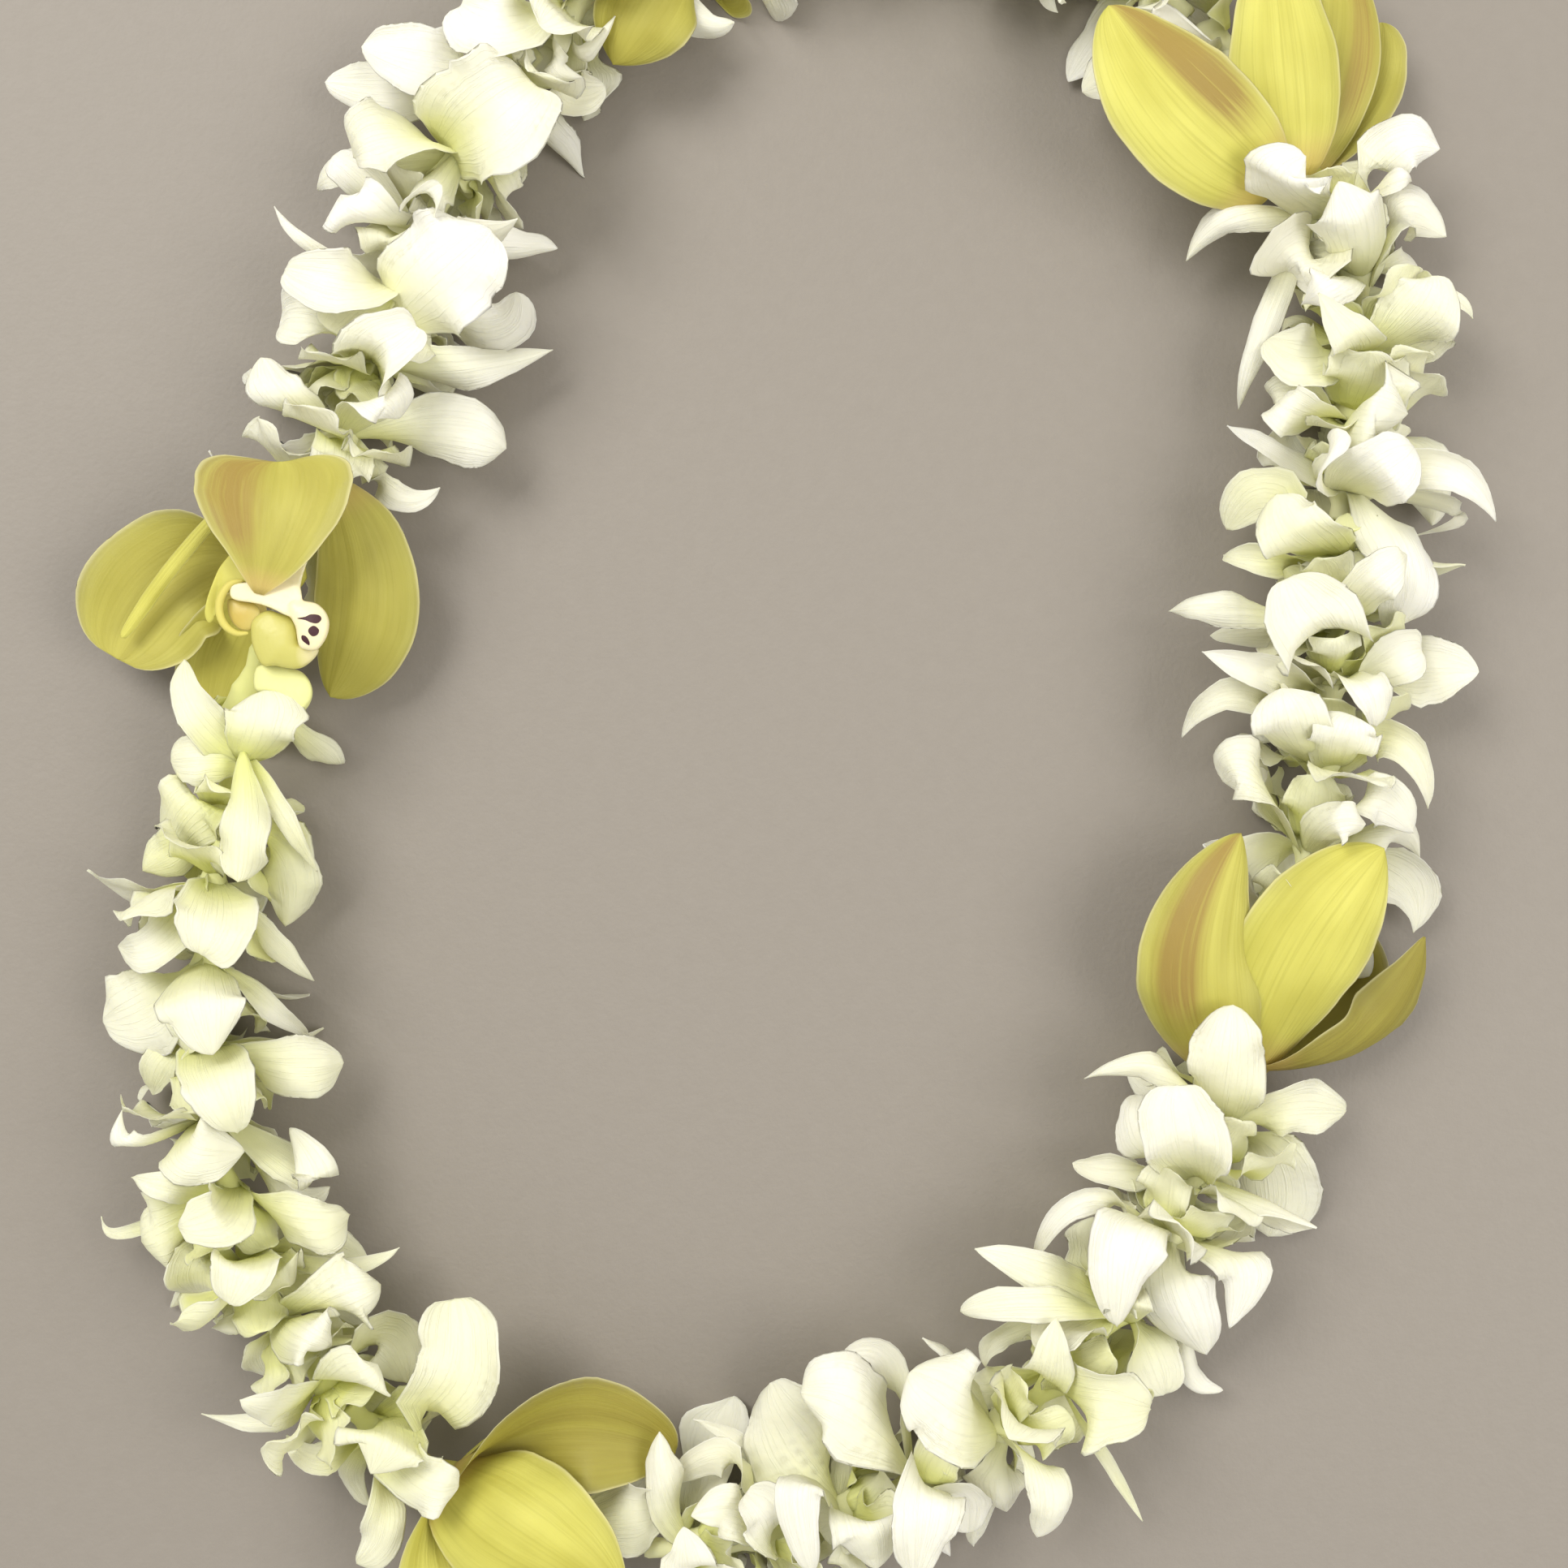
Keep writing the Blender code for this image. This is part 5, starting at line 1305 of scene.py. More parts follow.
# %% A petal's midrib and width
def midrib(tree, t):
    """The Bezier curve's point and slope at t."""
    a, b, c, d = attributes(tree, *VECTORS[:4], kind="FLOAT_VECTOR")
    s = 1.0 - t
    point = a * (s * s * s) + b * (s * s * t * 3.0) + c * (s * t * t * 3.0) + d * (t * t * t)
    slope = (b - a) * (s * s) + (c - b) * (s * t * 2.0) + (d - c) * (t * t)
    return point, unit(slope)


def half_width(tree, t):
    """Half the blade's width at t: it grows from the claw and shrinks to the point."""
    width, claw, tip = attributes(tree, "width", "claw", "point")
    widest = claw / (claw + tip)
    q = (t + ROOT_SHARE) * (1 / (1 + ROOT_SHARE))
    grown = (q / widest) ** claw
    shrunk = combined("MAXIMUM", (1.0 - q) / (1.0 - widest), 0.0) ** tip
    return combined("MAXIMUM", width * 0.5 * grown * shrunk, SMALLEST_HALF)


print("thinnest tip:", SMALLEST_HALF * 2000, "mm")

# %% The place of each point of a petal
# A margin's waves: how fast they run along the blade, how far its tint shifts them, their slant.
UNEVEN_WAVES = (9.0, 60.0, 1.7)
RUFFLE_WAVES = (1.9 * math.tau, 40.0, 1.3)
NOTCHES = (4.5, 70.0, 0.9)
NOTCH_DEPTH = 7.0
RUFFLE_POWER = 2.5
CRUMPLE_SCALE = 130.0
CRUMPLE_SETS_IN = (0.05, 0.4)
CRUMPLE_INSIDE = 0.3
CURL_SETS_IN = (0.55, 1.05)
FOLD_ROUND, FOLD_SUNK = 0.015, 0.12
EDGE_THINNER, EDGE_POWER = 0.8, 3.0


def petal_place(tree, given):
    """Where a point of a tube goes: to the midrib, aside from it by its share of the width, then
    out of the face by the cup, ruffle, fold, curl and crumple, and by half the thickness."""
    t, u, side, tint, cup, ruffle, fold, curl, thickness = attributes(
        tree, "along", "aside", "facing", "tint", "cup", "ruffle", "fold", "curl", "thickness")
    across_root, across_tip = attributes(tree, *VECTORS[4:], kind="FLOAT_VECTOR")

    def wave(along, own, slant):
        return combined("SINE", t * along + tint * own + u * slant)

    point, slope = midrib(tree, t)
    turned = combined("MAXIMUM", combined("MINIMUM", t * (1 / TURNED_BY), 1.0), 0.0)
    way = across_root * (1.0 - turned) + across_tip * turned
    across = unit(way - slope * dot(way, slope))
    face = combined("CROSS_PRODUCT", slope, across)
    edge = combined("ABSOLUTE", u)
    uneven = wave(*UNEVEN_WAVES) * edge * given["Uneven"] + 1.0
    along, own, slant = NOTCHES
    at = added(tree, "ShaderNodeCombineXYZ", {"X": t * along, "Y": u * slant, "Z": tint * own})
    notches = added(tree, "ShaderNodeTexNoise", {"Vector": at, "Scale": 1.0, "Detail": 1.0}) - 0.5
    half = half_width(tree, t) * (uneven + notches * edge * given["Uneven"] * NOTCH_DEPTH)
    flat = point + across * (half * u)
    at = flat + added(tree, "ShaderNodeCombineXYZ", {"Z": tint})
    noise = added(tree, "ShaderNodeTexNoise",
                  {"Vector": at, "Scale": CRUMPLE_SCALE, "Detail": 1.0})
    crumple = ((noise - 0.5) * given["Crumple"]
               * (edge * (1 - CRUMPLE_INSIDE) + CRUMPLE_INSIDE) * ramp(t, *CRUMPLE_SETS_IN))
    gull = combined("SQRT", u * u + FOLD_ROUND) - FOLD_SUNK
    curled = ramp(t, *CURL_SETS_IN)
    lift = (half * cup * u * u + half * ruffle * wave(*RUFFLE_WAVES) * edge ** RUFFLE_POWER
            + half * fold * gull + curl * curled * curled + crumple
            + thickness * 0.5 * side * (1.0 - edge ** EDGE_POWER * EDGE_THINNER))
    x, y, z = parts(flat + face * lift)
    upper = combined("GREATER_THAN", parts(face)[2] * side, 0.0) * thickness
    z = combined("MAXIMUM", z, upper)
    return added(tree, "ShaderNodeCombineXYZ", {"X": x, "Y": y, "Z": z})


print("waves along a margin:", round(RUFFLE_WAVES[0] / math.tau, 1))

# %% The whole petal tree
def petal_tree():
    """Bends a tube for each blade, and lets the core through."""
    tree = bpy.data.node_groups.new("petals", "GeometryNodeTree")
    given = sizes(tree, Ring="Int", Rows="Int", Crumple="Float", Uneven="Float",
                  Material="Material")
    blades = added(tree, "GeometryNodeSetPosition",
                   {"Geometry": blade_tubes(tree, given), "Position": petal_place(tree, given)})
    is_blade, = attributes(tree, "is_blade")
    core = added(tree, "GeometryNodeSeparateGeometry",
                 {"Geometry": given["Geometry"],
                  "Selection": combined("LESS_THAN", is_blade, 0.5)}, domain="POINT")
    join = tree.nodes.new("GeometryNodeJoinGeometry")
    for piece in (blades, core):
        tree.links.new(piece.socket, join.inputs[0])
    ended(tree, Field(tree, join.outputs[0]), given["Material"])
    return tree


PETALS = petal_tree()
print("nodes in the petal tree:", len(PETALS.nodes))

# %% [markdown]
# ## The heart of a bloom
#
# Behind its petals a dendrobium has a short green stem, and in front of them a lip that is rolled
# round its column into a pale mouth. Here the thread runs through both. They are turned on the
# thread like a vase on a lathe, with a rim of three soft lobes.

# %% How wide a bloom's core is along the thread
AROUND = 24
END_RADIUS = 0.0011
WHITE_PROFILE = ((1.0, END_RADIUS), (1.0, 0.0021), (0.9, 0.0024), (0.5, 0.0021),
                 (0.2, 0.0030), (0.0, 0.0040))
MOUTH_PROFILE = ((0.25, 0.0041), (0.55, 0.0045), (0.85, 0.0053), (1.0, 0.0058),
                 (0.97, 0.0054), (0.8, 0.0043), (0.55, 0.0028), (0.4, END_RADIUS))
PLAIN_STEM = ((1.0, 0.85), (0.85, 0.98), (0.4, 1.0))
PLAIN_BELT = 0.98
PLAIN_PROFILE = ((0.35, 0.92), (0.75, 0.8), (1.0, 0.6), (1.0, 0.25))


def core_stations(bloom):
    """How far along the thread each ring of the core is, its radius, and how much of a rim it
    is."""
    frame = frame_at(bloom.distance)
    back = (bloom.rings[0][0] - frame.origin).dot(frame.along)
    if bloom.material == "white_petal":
        behind = [(share * back, radius, 0.0) for share, radius in WHITE_PROFILE]
        ahead = [(share * bloom.front, radius, share ** 3) for share, radius in MOUTH_PROFILE]
    else:
        belt, stem = bloom.core.belt_radius, bloom.core.stem_radius
        behind = [(back, END_RADIUS, 0.0),
                  *((back * share, stem * radius, 0.0) for share, radius in PLAIN_STEM),
                  (0.0, belt * PLAIN_BELT, 0.0)]
        ahead = [(share * bloom.front, belt * radius, 0.0) for share, radius in PLAIN_PROFILE]
    return behind + ahead


print("rings of a white core:", len(WHITE_PROFILE + MOUTH_PROFILE))

# %% Turn a bloom's core on the thread
LOBES, LOBE_DEPTH = 3, 0.10
RUFFLES, RIM_RUFFLE = 5, 0.0006


def tube_faces(rings, around, turned=False):
    """The faces of a closed tube: its skin and its two ends. Turned, they face the other way."""
    skin = ring_faces(rings, around)
    ends = [tuple(reversed(range(around))), tuple(range((rings - 1) * around, rings * around))]
    if turned:
        skin = [(a, d, c, b) for a, b, c, d in skin]
        ends = [tuple(reversed(end)) for end in ends]
    return skin + ends


def core_mesh(bloom):
    """Points, faces and how far along the core each point is, for the turned core."""
    points, along = [], []
    stations = core_stations(bloom)
    for row, (offset, radius, rim) in enumerate(stations):
        for k in range(AROUND):
            angle = math.tau * k / AROUND
            swell = 1 + rim * LOBE_DEPTH * math.cos(LOBES * angle + bloom.roll)
            ruffled = offset + rim * RIM_RUFFLE * math.sin(RUFFLES * angle + bloom.roll)
            here = frame_at(bloom.distance + ruffled)
            points.append(here.origin + here.radial(angle) * radius * swell)
            along.append(row / (len(stations) - 1))
    return points, tube_faces(len(stations), AROUND), along


print("points round a core:", AROUND)

# %% [markdown]
# ## Growing one bloom
#
# The core's mesh and the loose points of the blades go into one object, the tree runs on it, and
# the result is kept as a plain mesh. Each kind of blade has its habits, and each blade has its
# own share of them.

# %% The habits of each kind of blade
@dataclass
class Habit:
    """How one kind of blade differs from its CAD solid: how slowly it widens and how sharply it
    ends, how much wider it is, how deep its margin's waves are, and how far its cup, its fold
    along the midrib, its tip's curl and the sharpness of its tip vary from blade to blade."""
    claw: float
    point: float
    wider: float
    ruffle: float
    cup: float
    fold: float
    curl: float
    sharper: float = 1.0


HABITS = {
    "sepal": Habit(0.62, 0.72, 1.08, 0.12, 0.38, 0.32, 0.0032, 1.4),
    "petal": Habit(0.70, 0.46, 1.12, 0.20, 0.38, 0.30, 0.0030, 1.6),
    "lip": Habit(0.50, 0.34, 1.02, 0.32, 0.32, 0.34, 0.0022, 1.5),
    "throat": Habit(0.34, 0.32, 1.02, 0.30, 0.32, 0.24, 0.0024, 1.5),
    "inner": Habit(0.66, 0.46, 1.12, 0.26, 0.42, 0.36, 0.0032, 1.6),
    "yellow_sepal": Habit(1.05, 0.90, 1.0, 0.06, 0.10, 0.20, 0.0010),
    "yellow_petal": Habit(1.10, 0.80, 1.0, 0.07, 0.10, 0.22, 0.0010),
    "yellow_fan": Habit(0.95, 0.16, 1.0, 0.05, 0.0, 0.10, 0.0),
    "yellow_lip": Habit(0.55, 0.35, 1.0, 0.22, 0.0, 0.0, 0.0),
    "column": Habit(0.30, 0.30, 1.0, 0.0, 0.0, 0.0, 0.0),
}
THINNER = 0.62
MOULDED = ("yellow_column_left",)
CORE_ALONG = {"white_petal": 0.0, "yellow_petal": 0.2, "cream_column": 0.5}
print("kinds of blade with habits:", len(HABITS))

# %% What the tree reads at each blade
FLUSH_STEPS = 50
RUFFLE_SHARE = (0.5, 1.4)


def flush_aside(blade, x_px, y_px):
    """How far aside on the blade a pixel of the photograph is, from -1 to 1."""
    def beside(t):
        point, across, face = section(blade, t)
        return place(x_px, y_px, point.z) - point, across, face

    def miss(t):
        away, across, face = beside(t)
        return abs(away.dot(face.cross(across)))

    t = min((k / FLUSH_STEPS for k in range(5, FLUSH_STEPS)), key=miss)
    away, across, _ = beside(t)
    return 2 * away.dot(across) / (blade.width * outline(blade.form, t))


def kind_of(form):
    """Which kind a form is of, though a look may have changed its claw and point."""
    return next(kind for kind, known in FORMS.items()
                if (known.length, known.width) == (form.length, form.width))


def blade_values(blade, look, green, draw):
    """The values at a blade's point: its curve, its look, and its share of its kind's habits."""
    form, habit = blade.form, HABITS[kind_of(blade.form)]
    cup, fold, curl = (draw.uniform(-most, most) for most in (habit.cup, habit.fold, habit.curl))
    return {**dict(zip(VECTORS, (*blade.midrib, *blade.across))),
            "width": blade.width * habit.wider, "claw": look.claw or habit.claw,
            "point": look.point or habit.point * draw.uniform(1.0, habit.sharper),
            "cup": form.cup + cup, "fold": fold, "curl": curl,
            "thickness": form.thickness * (1.0 if kind_of(form) == "column" else THINNER),
            "ruffle": habit.ruffle * draw.uniform(*RUFFLE_SHARE), "is_blade": 1.0,
            "tint": draw.random(), "green": green, "flush": look.flush,
            "flush_at": flush_aside(blade, *look.flush_px) if look.flush else 0.0}


print("numbers at each blade:", len(NUMBERS))

# %% Helpers for meshes and objects
def new_mesh(name, points, faces, finish=None, edges=()):
    """A mesh of these points and faces, with its finish."""
    made = bpy.data.meshes.new(name)
    made.from_pydata(points, edges, faces)
    if finish:
        made.materials.append(finish)
    return made


def linked(name, data):
    """A new object in the scene."""
    made = bpy.data.objects.new(name, data)
    bpy.context.scene.collection.objects.link(made)
    return made


def set_inputs(modifier, **values):
    """Sets a modifier's inputs by their names in the tree."""
    names = {item.name: item.identifier for item in modifier.node_group.interface.items_tree
             if item.in_out == "INPUT"}
    for name, value in values.items():
        modifier[names[name]] = value


def kept_shape(source):
    """The plain mesh that an object's modifiers make of it. The object itself goes."""
    ready = bpy.context.evaluated_depsgraph_get()
    made = bpy.data.meshes.new_from_object(source.evaluated_get(ready), depsgraph=ready)
    bpy.data.objects.remove(source)
    return made


# %% Grow a bloom's mesh
FLATTER_ABOVE, FLATTER_BY = 0.041, 0.6
CORE_FADES = 0.1
CORE_TINT = 0.5
THROAT_GREEN, INNER_GREEN = (0.35, 0.9), (0.1, 0.4)


def filled_in(bloom, green):
    """The core's mesh with a loose point for each blade, and their values. Each blade of the CAD
    draws its habits from its own name, so that they stay when another blade is changed."""
    points, faces, along = core_mesh(bloom)
    values = [{"along": CORE_ALONG[bloom.material] + share * CORE_FADES, "tint": CORE_TINT,
               "green": green} for share in along]
    cad_blades = {} if bloom.name in MOULDED else bloom.blades
    for side, blade in cad_blades.items():
        look, own = looks.get((bloom.name, side), NO_LOOK), random.Random(f"{bloom.name} {side}")
        points.append(blade.midrib[0])
        # For a yellow-green blade, green carries its olive share, which is partly painted shade.
        values.append(blade_values(blade, look, green + look.olive_and_shade, own))
    draw = random.Random(bloom.name)
    for blade in extras[bloom.name]:
        greener = draw.uniform(*(THROAT_GREEN if blade.form is THROAT else INNER_GREEN))
        points.append(blade.midrib[0])
        values.append(blade_values(blade, NO_LOOK, green + greener, draw))
    mesh = new_mesh("source", points, faces)
    for name in VECTORS:
        flat = [x for value in values for x in value.get(name, (0, 0, 0))]
        mesh.attributes.new(name, "FLOAT_VECTOR", "POINT").data.foreach_set("vector", flat)
    for name in NUMBERS:
        flat = [value.get(name, 0.0) for value in values]
        mesh.attributes.new(name, "FLOAT", "POINT").data.foreach_set("value", flat)
    return mesh


def grown_mesh(bloom, green):
    """The bloom's whole mesh, pressed a little flatter near the lei's top."""
    source = linked("source", filled_in(bloom, green))
    modifier = source.modifiers.new("petals", "NODES")
    modifier.node_group = PETALS
    set_inputs(modifier, Material=FINISHES[bloom.material], **GRAINS[bloom.material])
    made = kept_shape(source)
    for layer in list(made.attributes):
        if layer.name in VECTORS or layer.name in NUMBERS and layer.name not in KEPT:
            made.attributes.remove(layer)
    for vertex in made.vertices:
        vertex.co.z -= max(0.0, vertex.co.z - FLATTER_ABOVE) * FLATTER_BY
    return made


print("petals are pressed flatter above", FLATTER_ABOVE, "m")

# %% [markdown]
# ## Finishes
#
# Orchid petals are waxy and let some light through, so each finish has some subsurface scattering.
# Their colour follows the petal: greener towards the root, streaked along its length as its veins
# run, and paler at the rim. The attributes that the tree left on the mesh say where that is.

# %% Helpers for finishes
SCATTER_COLOUR = (1.0, 0.9, 0.55)


def new_finish(name, roughness, scatter=0.0, depth=0.001, shine=0.5):
    """A material, its tree and its shader. Scatter is how much light enters, and depth how far."""
    made = bpy.data.materials.new(name)
    made.use_nodes = True
    shader = made.node_tree.nodes["Principled BSDF"]
    for socket, value in (("Roughness", roughness), ("Specular IOR Level", shine),
                          ("Subsurface Weight", scatter), ("Subsurface Scale", depth),
                          ("Subsurface Radius", SCATTER_COLOUR)):
        shader.inputs[socket].default_value = value
    return made, made.node_tree, shader


def finished(shader, colour, height, distance, strength):
    """Gives a shader its colour, and a bump of this height."""
    tree = colour.tree
    tree.links.new(colour.socket, shader.inputs["Base Color"])
    bump = added(tree, "ShaderNodeBump",
                 {"Height": height, "Distance": distance, "Strength": strength})
    tree.links.new(bump.socket, shader.inputs["Normal"])


def on_surface(tree, *names):
    """Attributes of the mesh, read by a finish."""
    return [added(tree, "ShaderNodeAttribute", {}, "Fac", attribute_name=name,
                  attribute_type="GEOMETRY") for name in names]


def mixed(share, a, b):
    """Colour a, or b where the share is 1."""
    made = share.tree.nodes.new("ShaderNodeMix")
    made.data_type = "RGBA"
    feed(share.tree, made.inputs[0], share)
    for k, colour in ((6, a), (7, b)):
        feed(share.tree, made.inputs[k], colour if isinstance(colour, Field) else (*colour, 1))
    return Field(share.tree, made.outputs[2])


def speckle(tree, scale, detail=2.0):
    """An even noise."""
    at = added(tree, "ShaderNodeTexCoord", {}, "Object")
    return added(tree, "ShaderNodeTexNoise", {"Vector": at, "Scale": scale, "Detail": detail})


def streaks(tree, across, along):
    """A noise that is drawn out along the petal, as its veins and shades are."""
    u, t, tint = on_surface(tree, "aside", "along", "tint")
    at = added(tree, "ShaderNodeCombineXYZ", {"X": u * across, "Y": t * along, "Z": tint * 40.0})
    return added(tree, "ShaderNodeTexNoise", {"Vector": at, "Scale": 1.0, "Detail": 2.0})


print("light that scatters in a petal is", SCATTER_COLOUR)

# %% White petals
WAX, IVORY, YOUNG = (0.93, 0.912, 0.815), (0.915, 0.895, 0.73), (0.77, 0.785, 0.32)
PALE_VEIN, WHITE_RIM = (0.76, 0.76, 0.56), (0.97, 0.96, 0.90)
ROOT_FADES, WHITE_VEINS, WHITE_EDGE = (0.62, 0.02), (0.50, 0.72), (0.86, 1.0)


def white_finish():
    """Its green attribute holds how young the bloom is."""
    made, tree, shader = new_finish("white_petal", roughness=0.68, scatter=0.28, depth=0.0018,
                                    shine=0.22)
    t, u, tint, green = on_surface(tree, "along", "aside", "tint", "green")
    mottle = (speckle(tree, 60.0) - 0.5) * 0.45
    rooted = ramp(t, *ROOT_FADES)
    pale = clamped(green * 0.55 + rooted * (green * 0.5 + 0.36) + mottle)
    veined = ramp(streaks(tree, across=22.0, along=1.6), *WHITE_VEINS)
    colour = mixed(pale, mixed(tint, WAX, IVORY), YOUNG)
    colour = mixed(veined * 0.10, colour, PALE_VEIN)
    colour = mixed(ramp(combined("ABSOLUTE", u), *WHITE_EDGE) * 0.35, colour, WHITE_RIM)
    finished(shader, colour, veined * 0.8 + speckle(tree, 380.0, 4.0) * 1.3, distance=0.0004,
             strength=0.45)
    return made


print("white petals go from", WAX, "to", YOUNG)

# %% Yellow-green petals
# The third colour is a darker olive: partly the tepals' own tone, partly painted shade for tepals
# that lie in shadow.
CHARTREUSE, DEEPER, OLIVE_AND_SHADE = (0.675, 0.64, 0.145), (0.43, 0.395, 0.055), (0.30, 0.255, 0.045)
DARK_VEIN, BROWN = (0.36, 0.33, 0.045), (0.345, 0.245, 0.06)
YELLOW_RIM, TAWNY_ROOT = (0.80, 0.75, 0.38), (0.62, 0.44, 0.16)
YELLOW_VEINS, YELLOW_EDGE, TAWNY_FADES = (0.46, 0.74), (0.93, 1.0), (0.16, 0.0)
FLUSH_WIDTH, FLUSH_SETS_IN, FLUSH_ENDS = (0.56, 0.02), (0.08, 0.40), (1.12, 0.92)


def yellow_finish():
    """Its green attribute holds how far the blade goes to olive: partly its own tone, partly
    painted shade where it lies in shadow.
    """
    made, tree, shader = new_finish("yellow_petal", roughness=0.56, scatter=0.25, depth=0.0025,
                                    shine=0.35)
    t, u, tint, flush, middle, olive_and_shade = on_surface(
        tree, "along", "aside", "tint", "flush", "flush_at", "green")
    wide = streaks(tree, across=3.2, along=1.1)
    fine = streaks(tree, across=20.0, along=1.4)
    mottle = (speckle(tree, 42.0) - 0.5) * 1.4
    shade = clamped(tint * 0.35 + mottle + (wide - 0.5) + 0.22)
    band = (ramp(combined("ABSOLUTE", u - middle), *FLUSH_WIDTH) * ramp(t, *FLUSH_SETS_IN)
            * ramp(t, *FLUSH_ENDS))
    colour = mixed(shade, CHARTREUSE, DEEPER)
    # Partly painted shade: the olive share darkens blades that lie in shadow as well as those that
    # are olive.
    colour = mixed(clamped(olive_and_shade * (wide * 0.7 + 0.55)), colour, OLIVE_AND_SHADE)
    colour = mixed(ramp(fine, *YELLOW_VEINS) * 0.30, colour, DARK_VEIN)
    colour = mixed(clamped(band * flush * (fine * 1.2 + wide * 0.8 - 0.25)), colour, BROWN)
    colour = mixed(ramp(combined("ABSOLUTE", u), *YELLOW_EDGE) * 0.6, colour, YELLOW_RIM)
    colour = mixed(ramp(t, *TAWNY_FADES) * 0.6, colour, TAWNY_ROOT)
    height = wide * 1.6 + fine * 0.6 + speckle(tree, 700.0, 3.0) * 0.25
    finished(shader, colour, height, distance=0.0004, strength=0.5)
    return made


print("yellow-green petals go from", CHARTREUSE, "to", OLIVE_AND_SHADE)

# %% Cream columns and plain things
CREAM_PALE, CREAM_DEEP = (0.90, 0.82, 0.55), (0.86, 0.77, 0.42)
MOSSY, ORANGE = (0.56, 0.53, 0.13), (0.56, 0.42, 0.075)
MOSS_FADES, MOSS_PATCHES = (1.0, 0.35), (0.55, 0.9)


def cream_finish():
    """Its green attribute holds how mossy the piece is, and its flush how orange."""
    made, tree, shader = new_finish("cream_column", roughness=0.38, scatter=0.4, depth=0.0025)
    t, tint, green, flush = on_surface(tree, "along", "tint", "green", "flush")
    colour = mixed(speckle(tree, 140.0) * 0.6, CREAM_PALE, CREAM_DEEP)
    moss = clamped(green * ramp(t, *MOSS_FADES) + ramp(tint, *MOSS_PATCHES) * 0.3 * green)
    colour = mixed(moss, colour, MOSSY)
    colour = mixed(clamped(flush), colour, ORANGE)
    finished(shader, colour, speckle(tree, 500.0, 3.0), distance=0.0003, strength=0.3)
    return made


def plain_finish(name, colour, darker, scale, roughness, distance, strength=0.4):
    """A finish that is one colour with a mottle."""
    made, tree, shader = new_finish(name, roughness)
    mottled = mixed(speckle(tree, scale, 4.0), colour, darker)
    finished(shader, mottled, speckle(tree, scale * 3, 3.0), distance, strength)
    return made


FINISHES = {"white_petal": white_finish(), "yellow_petal": yellow_finish(),
            "cream_column": cream_finish(),
            "cotton_thread": plain_finish("cotton_thread", (0.80, 0.78, 0.70), (0.62, 0.60, 0.52),
                                          scale=900.0, roughness=0.85, distance=0.0003)}
print("finishes:", ", ".join(FINISHES))

# %% [markdown]
# ## Growing them all
#
# Each piece stands for the CAD node of its own bloom. A few blooms are greener, as young ones are.

# %% How green and how fine each bloom is
GREENER = {"right_6": 0.75, "right_9": 0.5, "right_8": 0.35, "right_5": 0.3, "bottom_7": 0.75,
           "bottom_8": 0.5, "left_2": 0.9, "left_3": 0.5, "left_8": 0.7, "left_9": 0.45,
           "left_6": 0.35, "top_left_4": 0.3, "top_left_7": 0.35, "bottom_1": 0.4,
           "bottom_11": 0.35}
GENERALLY_GREEN = {"left": (0.3, 0.7), "bottom": (0.1, 0.4), "top_left": (0.0, 0.25),
                   "right": (0.05, 0.3), "top_right": (0.0, 0.2)}
GRAINS = {"white_petal": dict(Ring=20, Rows=18, Crumple=0.0024, Uneven=0.07),
          "yellow_petal": dict(Ring=36, Rows=30, Crumple=0.0014, Uneven=0.02),
          "cream_column": dict(Ring=24, Rows=18, Crumple=0.0005, Uneven=0.0)}


def greenness(bloom, draw):
    """How green a bloom is: as the photograph shows, or else by its part of the lei."""
    label = bloom.name.replace("white_bloom_", "")
    usual = draw.uniform(*GENERALLY_GREEN.get(label.rsplit("_", 1)[0], (0.0, 0.0)))
    return GREENER.get(label, usual)


print("blooms that are greener than the rest:", len(GREENER))

# %% Grow the blooms
def piece_name(bloom):
    """The piece that stands for a bloom of the CAD."""
    return bloom.name.replace("bloom", "orchid").replace("yellow_column", "orchid_column")


def shown(name, mesh, slot, *nodes):
    """Links a finished mesh to the lei's root body, and hides the CAD nodes that it stands for."""
    piece = linked(name, mesh)
    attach(piece, "root")
    if nodes:
        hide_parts(*nodes)


def triangles(mesh):
    return sum(len(face.vertices) - 2 for face in mesh.polygons)


draw = random.Random(SEED)
total = 0
for bloom in blooms:
    mesh = grown_mesh(bloom, greenness(bloom, draw))
    shown(piece_name(bloom), mesh, bloom.material, bloom.name)
    total += triangles(mesh)
print("triangles in the blooms:", total)

# %% [markdown]
# ## The left bloom's middle
#
# The left yellow-green orchid faces the camera, so its column shows: a cream arm with a short bar
# across it, and a rounded cap with three dark maroon marks, over a pouched lip with an orange
# crest. The next bloom's pale green ovary sits against it. Each is drawn as flat slabs from its
# outline in the photograph. A voxel remesh melts the slabs into one skin, and smoothing rounds
# it off.

# %% Mould a soft solid from slabs
VOXEL = 0.00030
SOFTENING = 0.5
DOME_STEPS = 9
DOME_ANGLE = math.radians(82)
OUTLINE_STEPS = 3


def smooth_stops(stops, share, closed=False):
    """The stops' values at this share of the way along them, on a Catmull-Rom curve."""
    spans = len(stops) if closed else len(stops) - 1
    i = min(int(share * spans), spans - 1)
    s = share * spans - i
    near = [stops[(i + k) % len(stops)] if closed else stops[max(0, min(spans, i + k))]
            for k in (-1, 0, 1, 2)]
    return [0.5 * (2 * q + (r - p) * s + (2 * p - 5 * q + 4 * r - v) * s * s
                   + (3 * q - p - 3 * r + v) * s**3) for p, q, r, v in zip(*near)]


def rounded(outline_px):
    """The outline with its corners rounded: more points, on a closed curve through it."""
    count = len(outline_px) * OUTLINE_STEPS
    return [smooth_stops(outline_px, k / count, True) for k in range(count)]


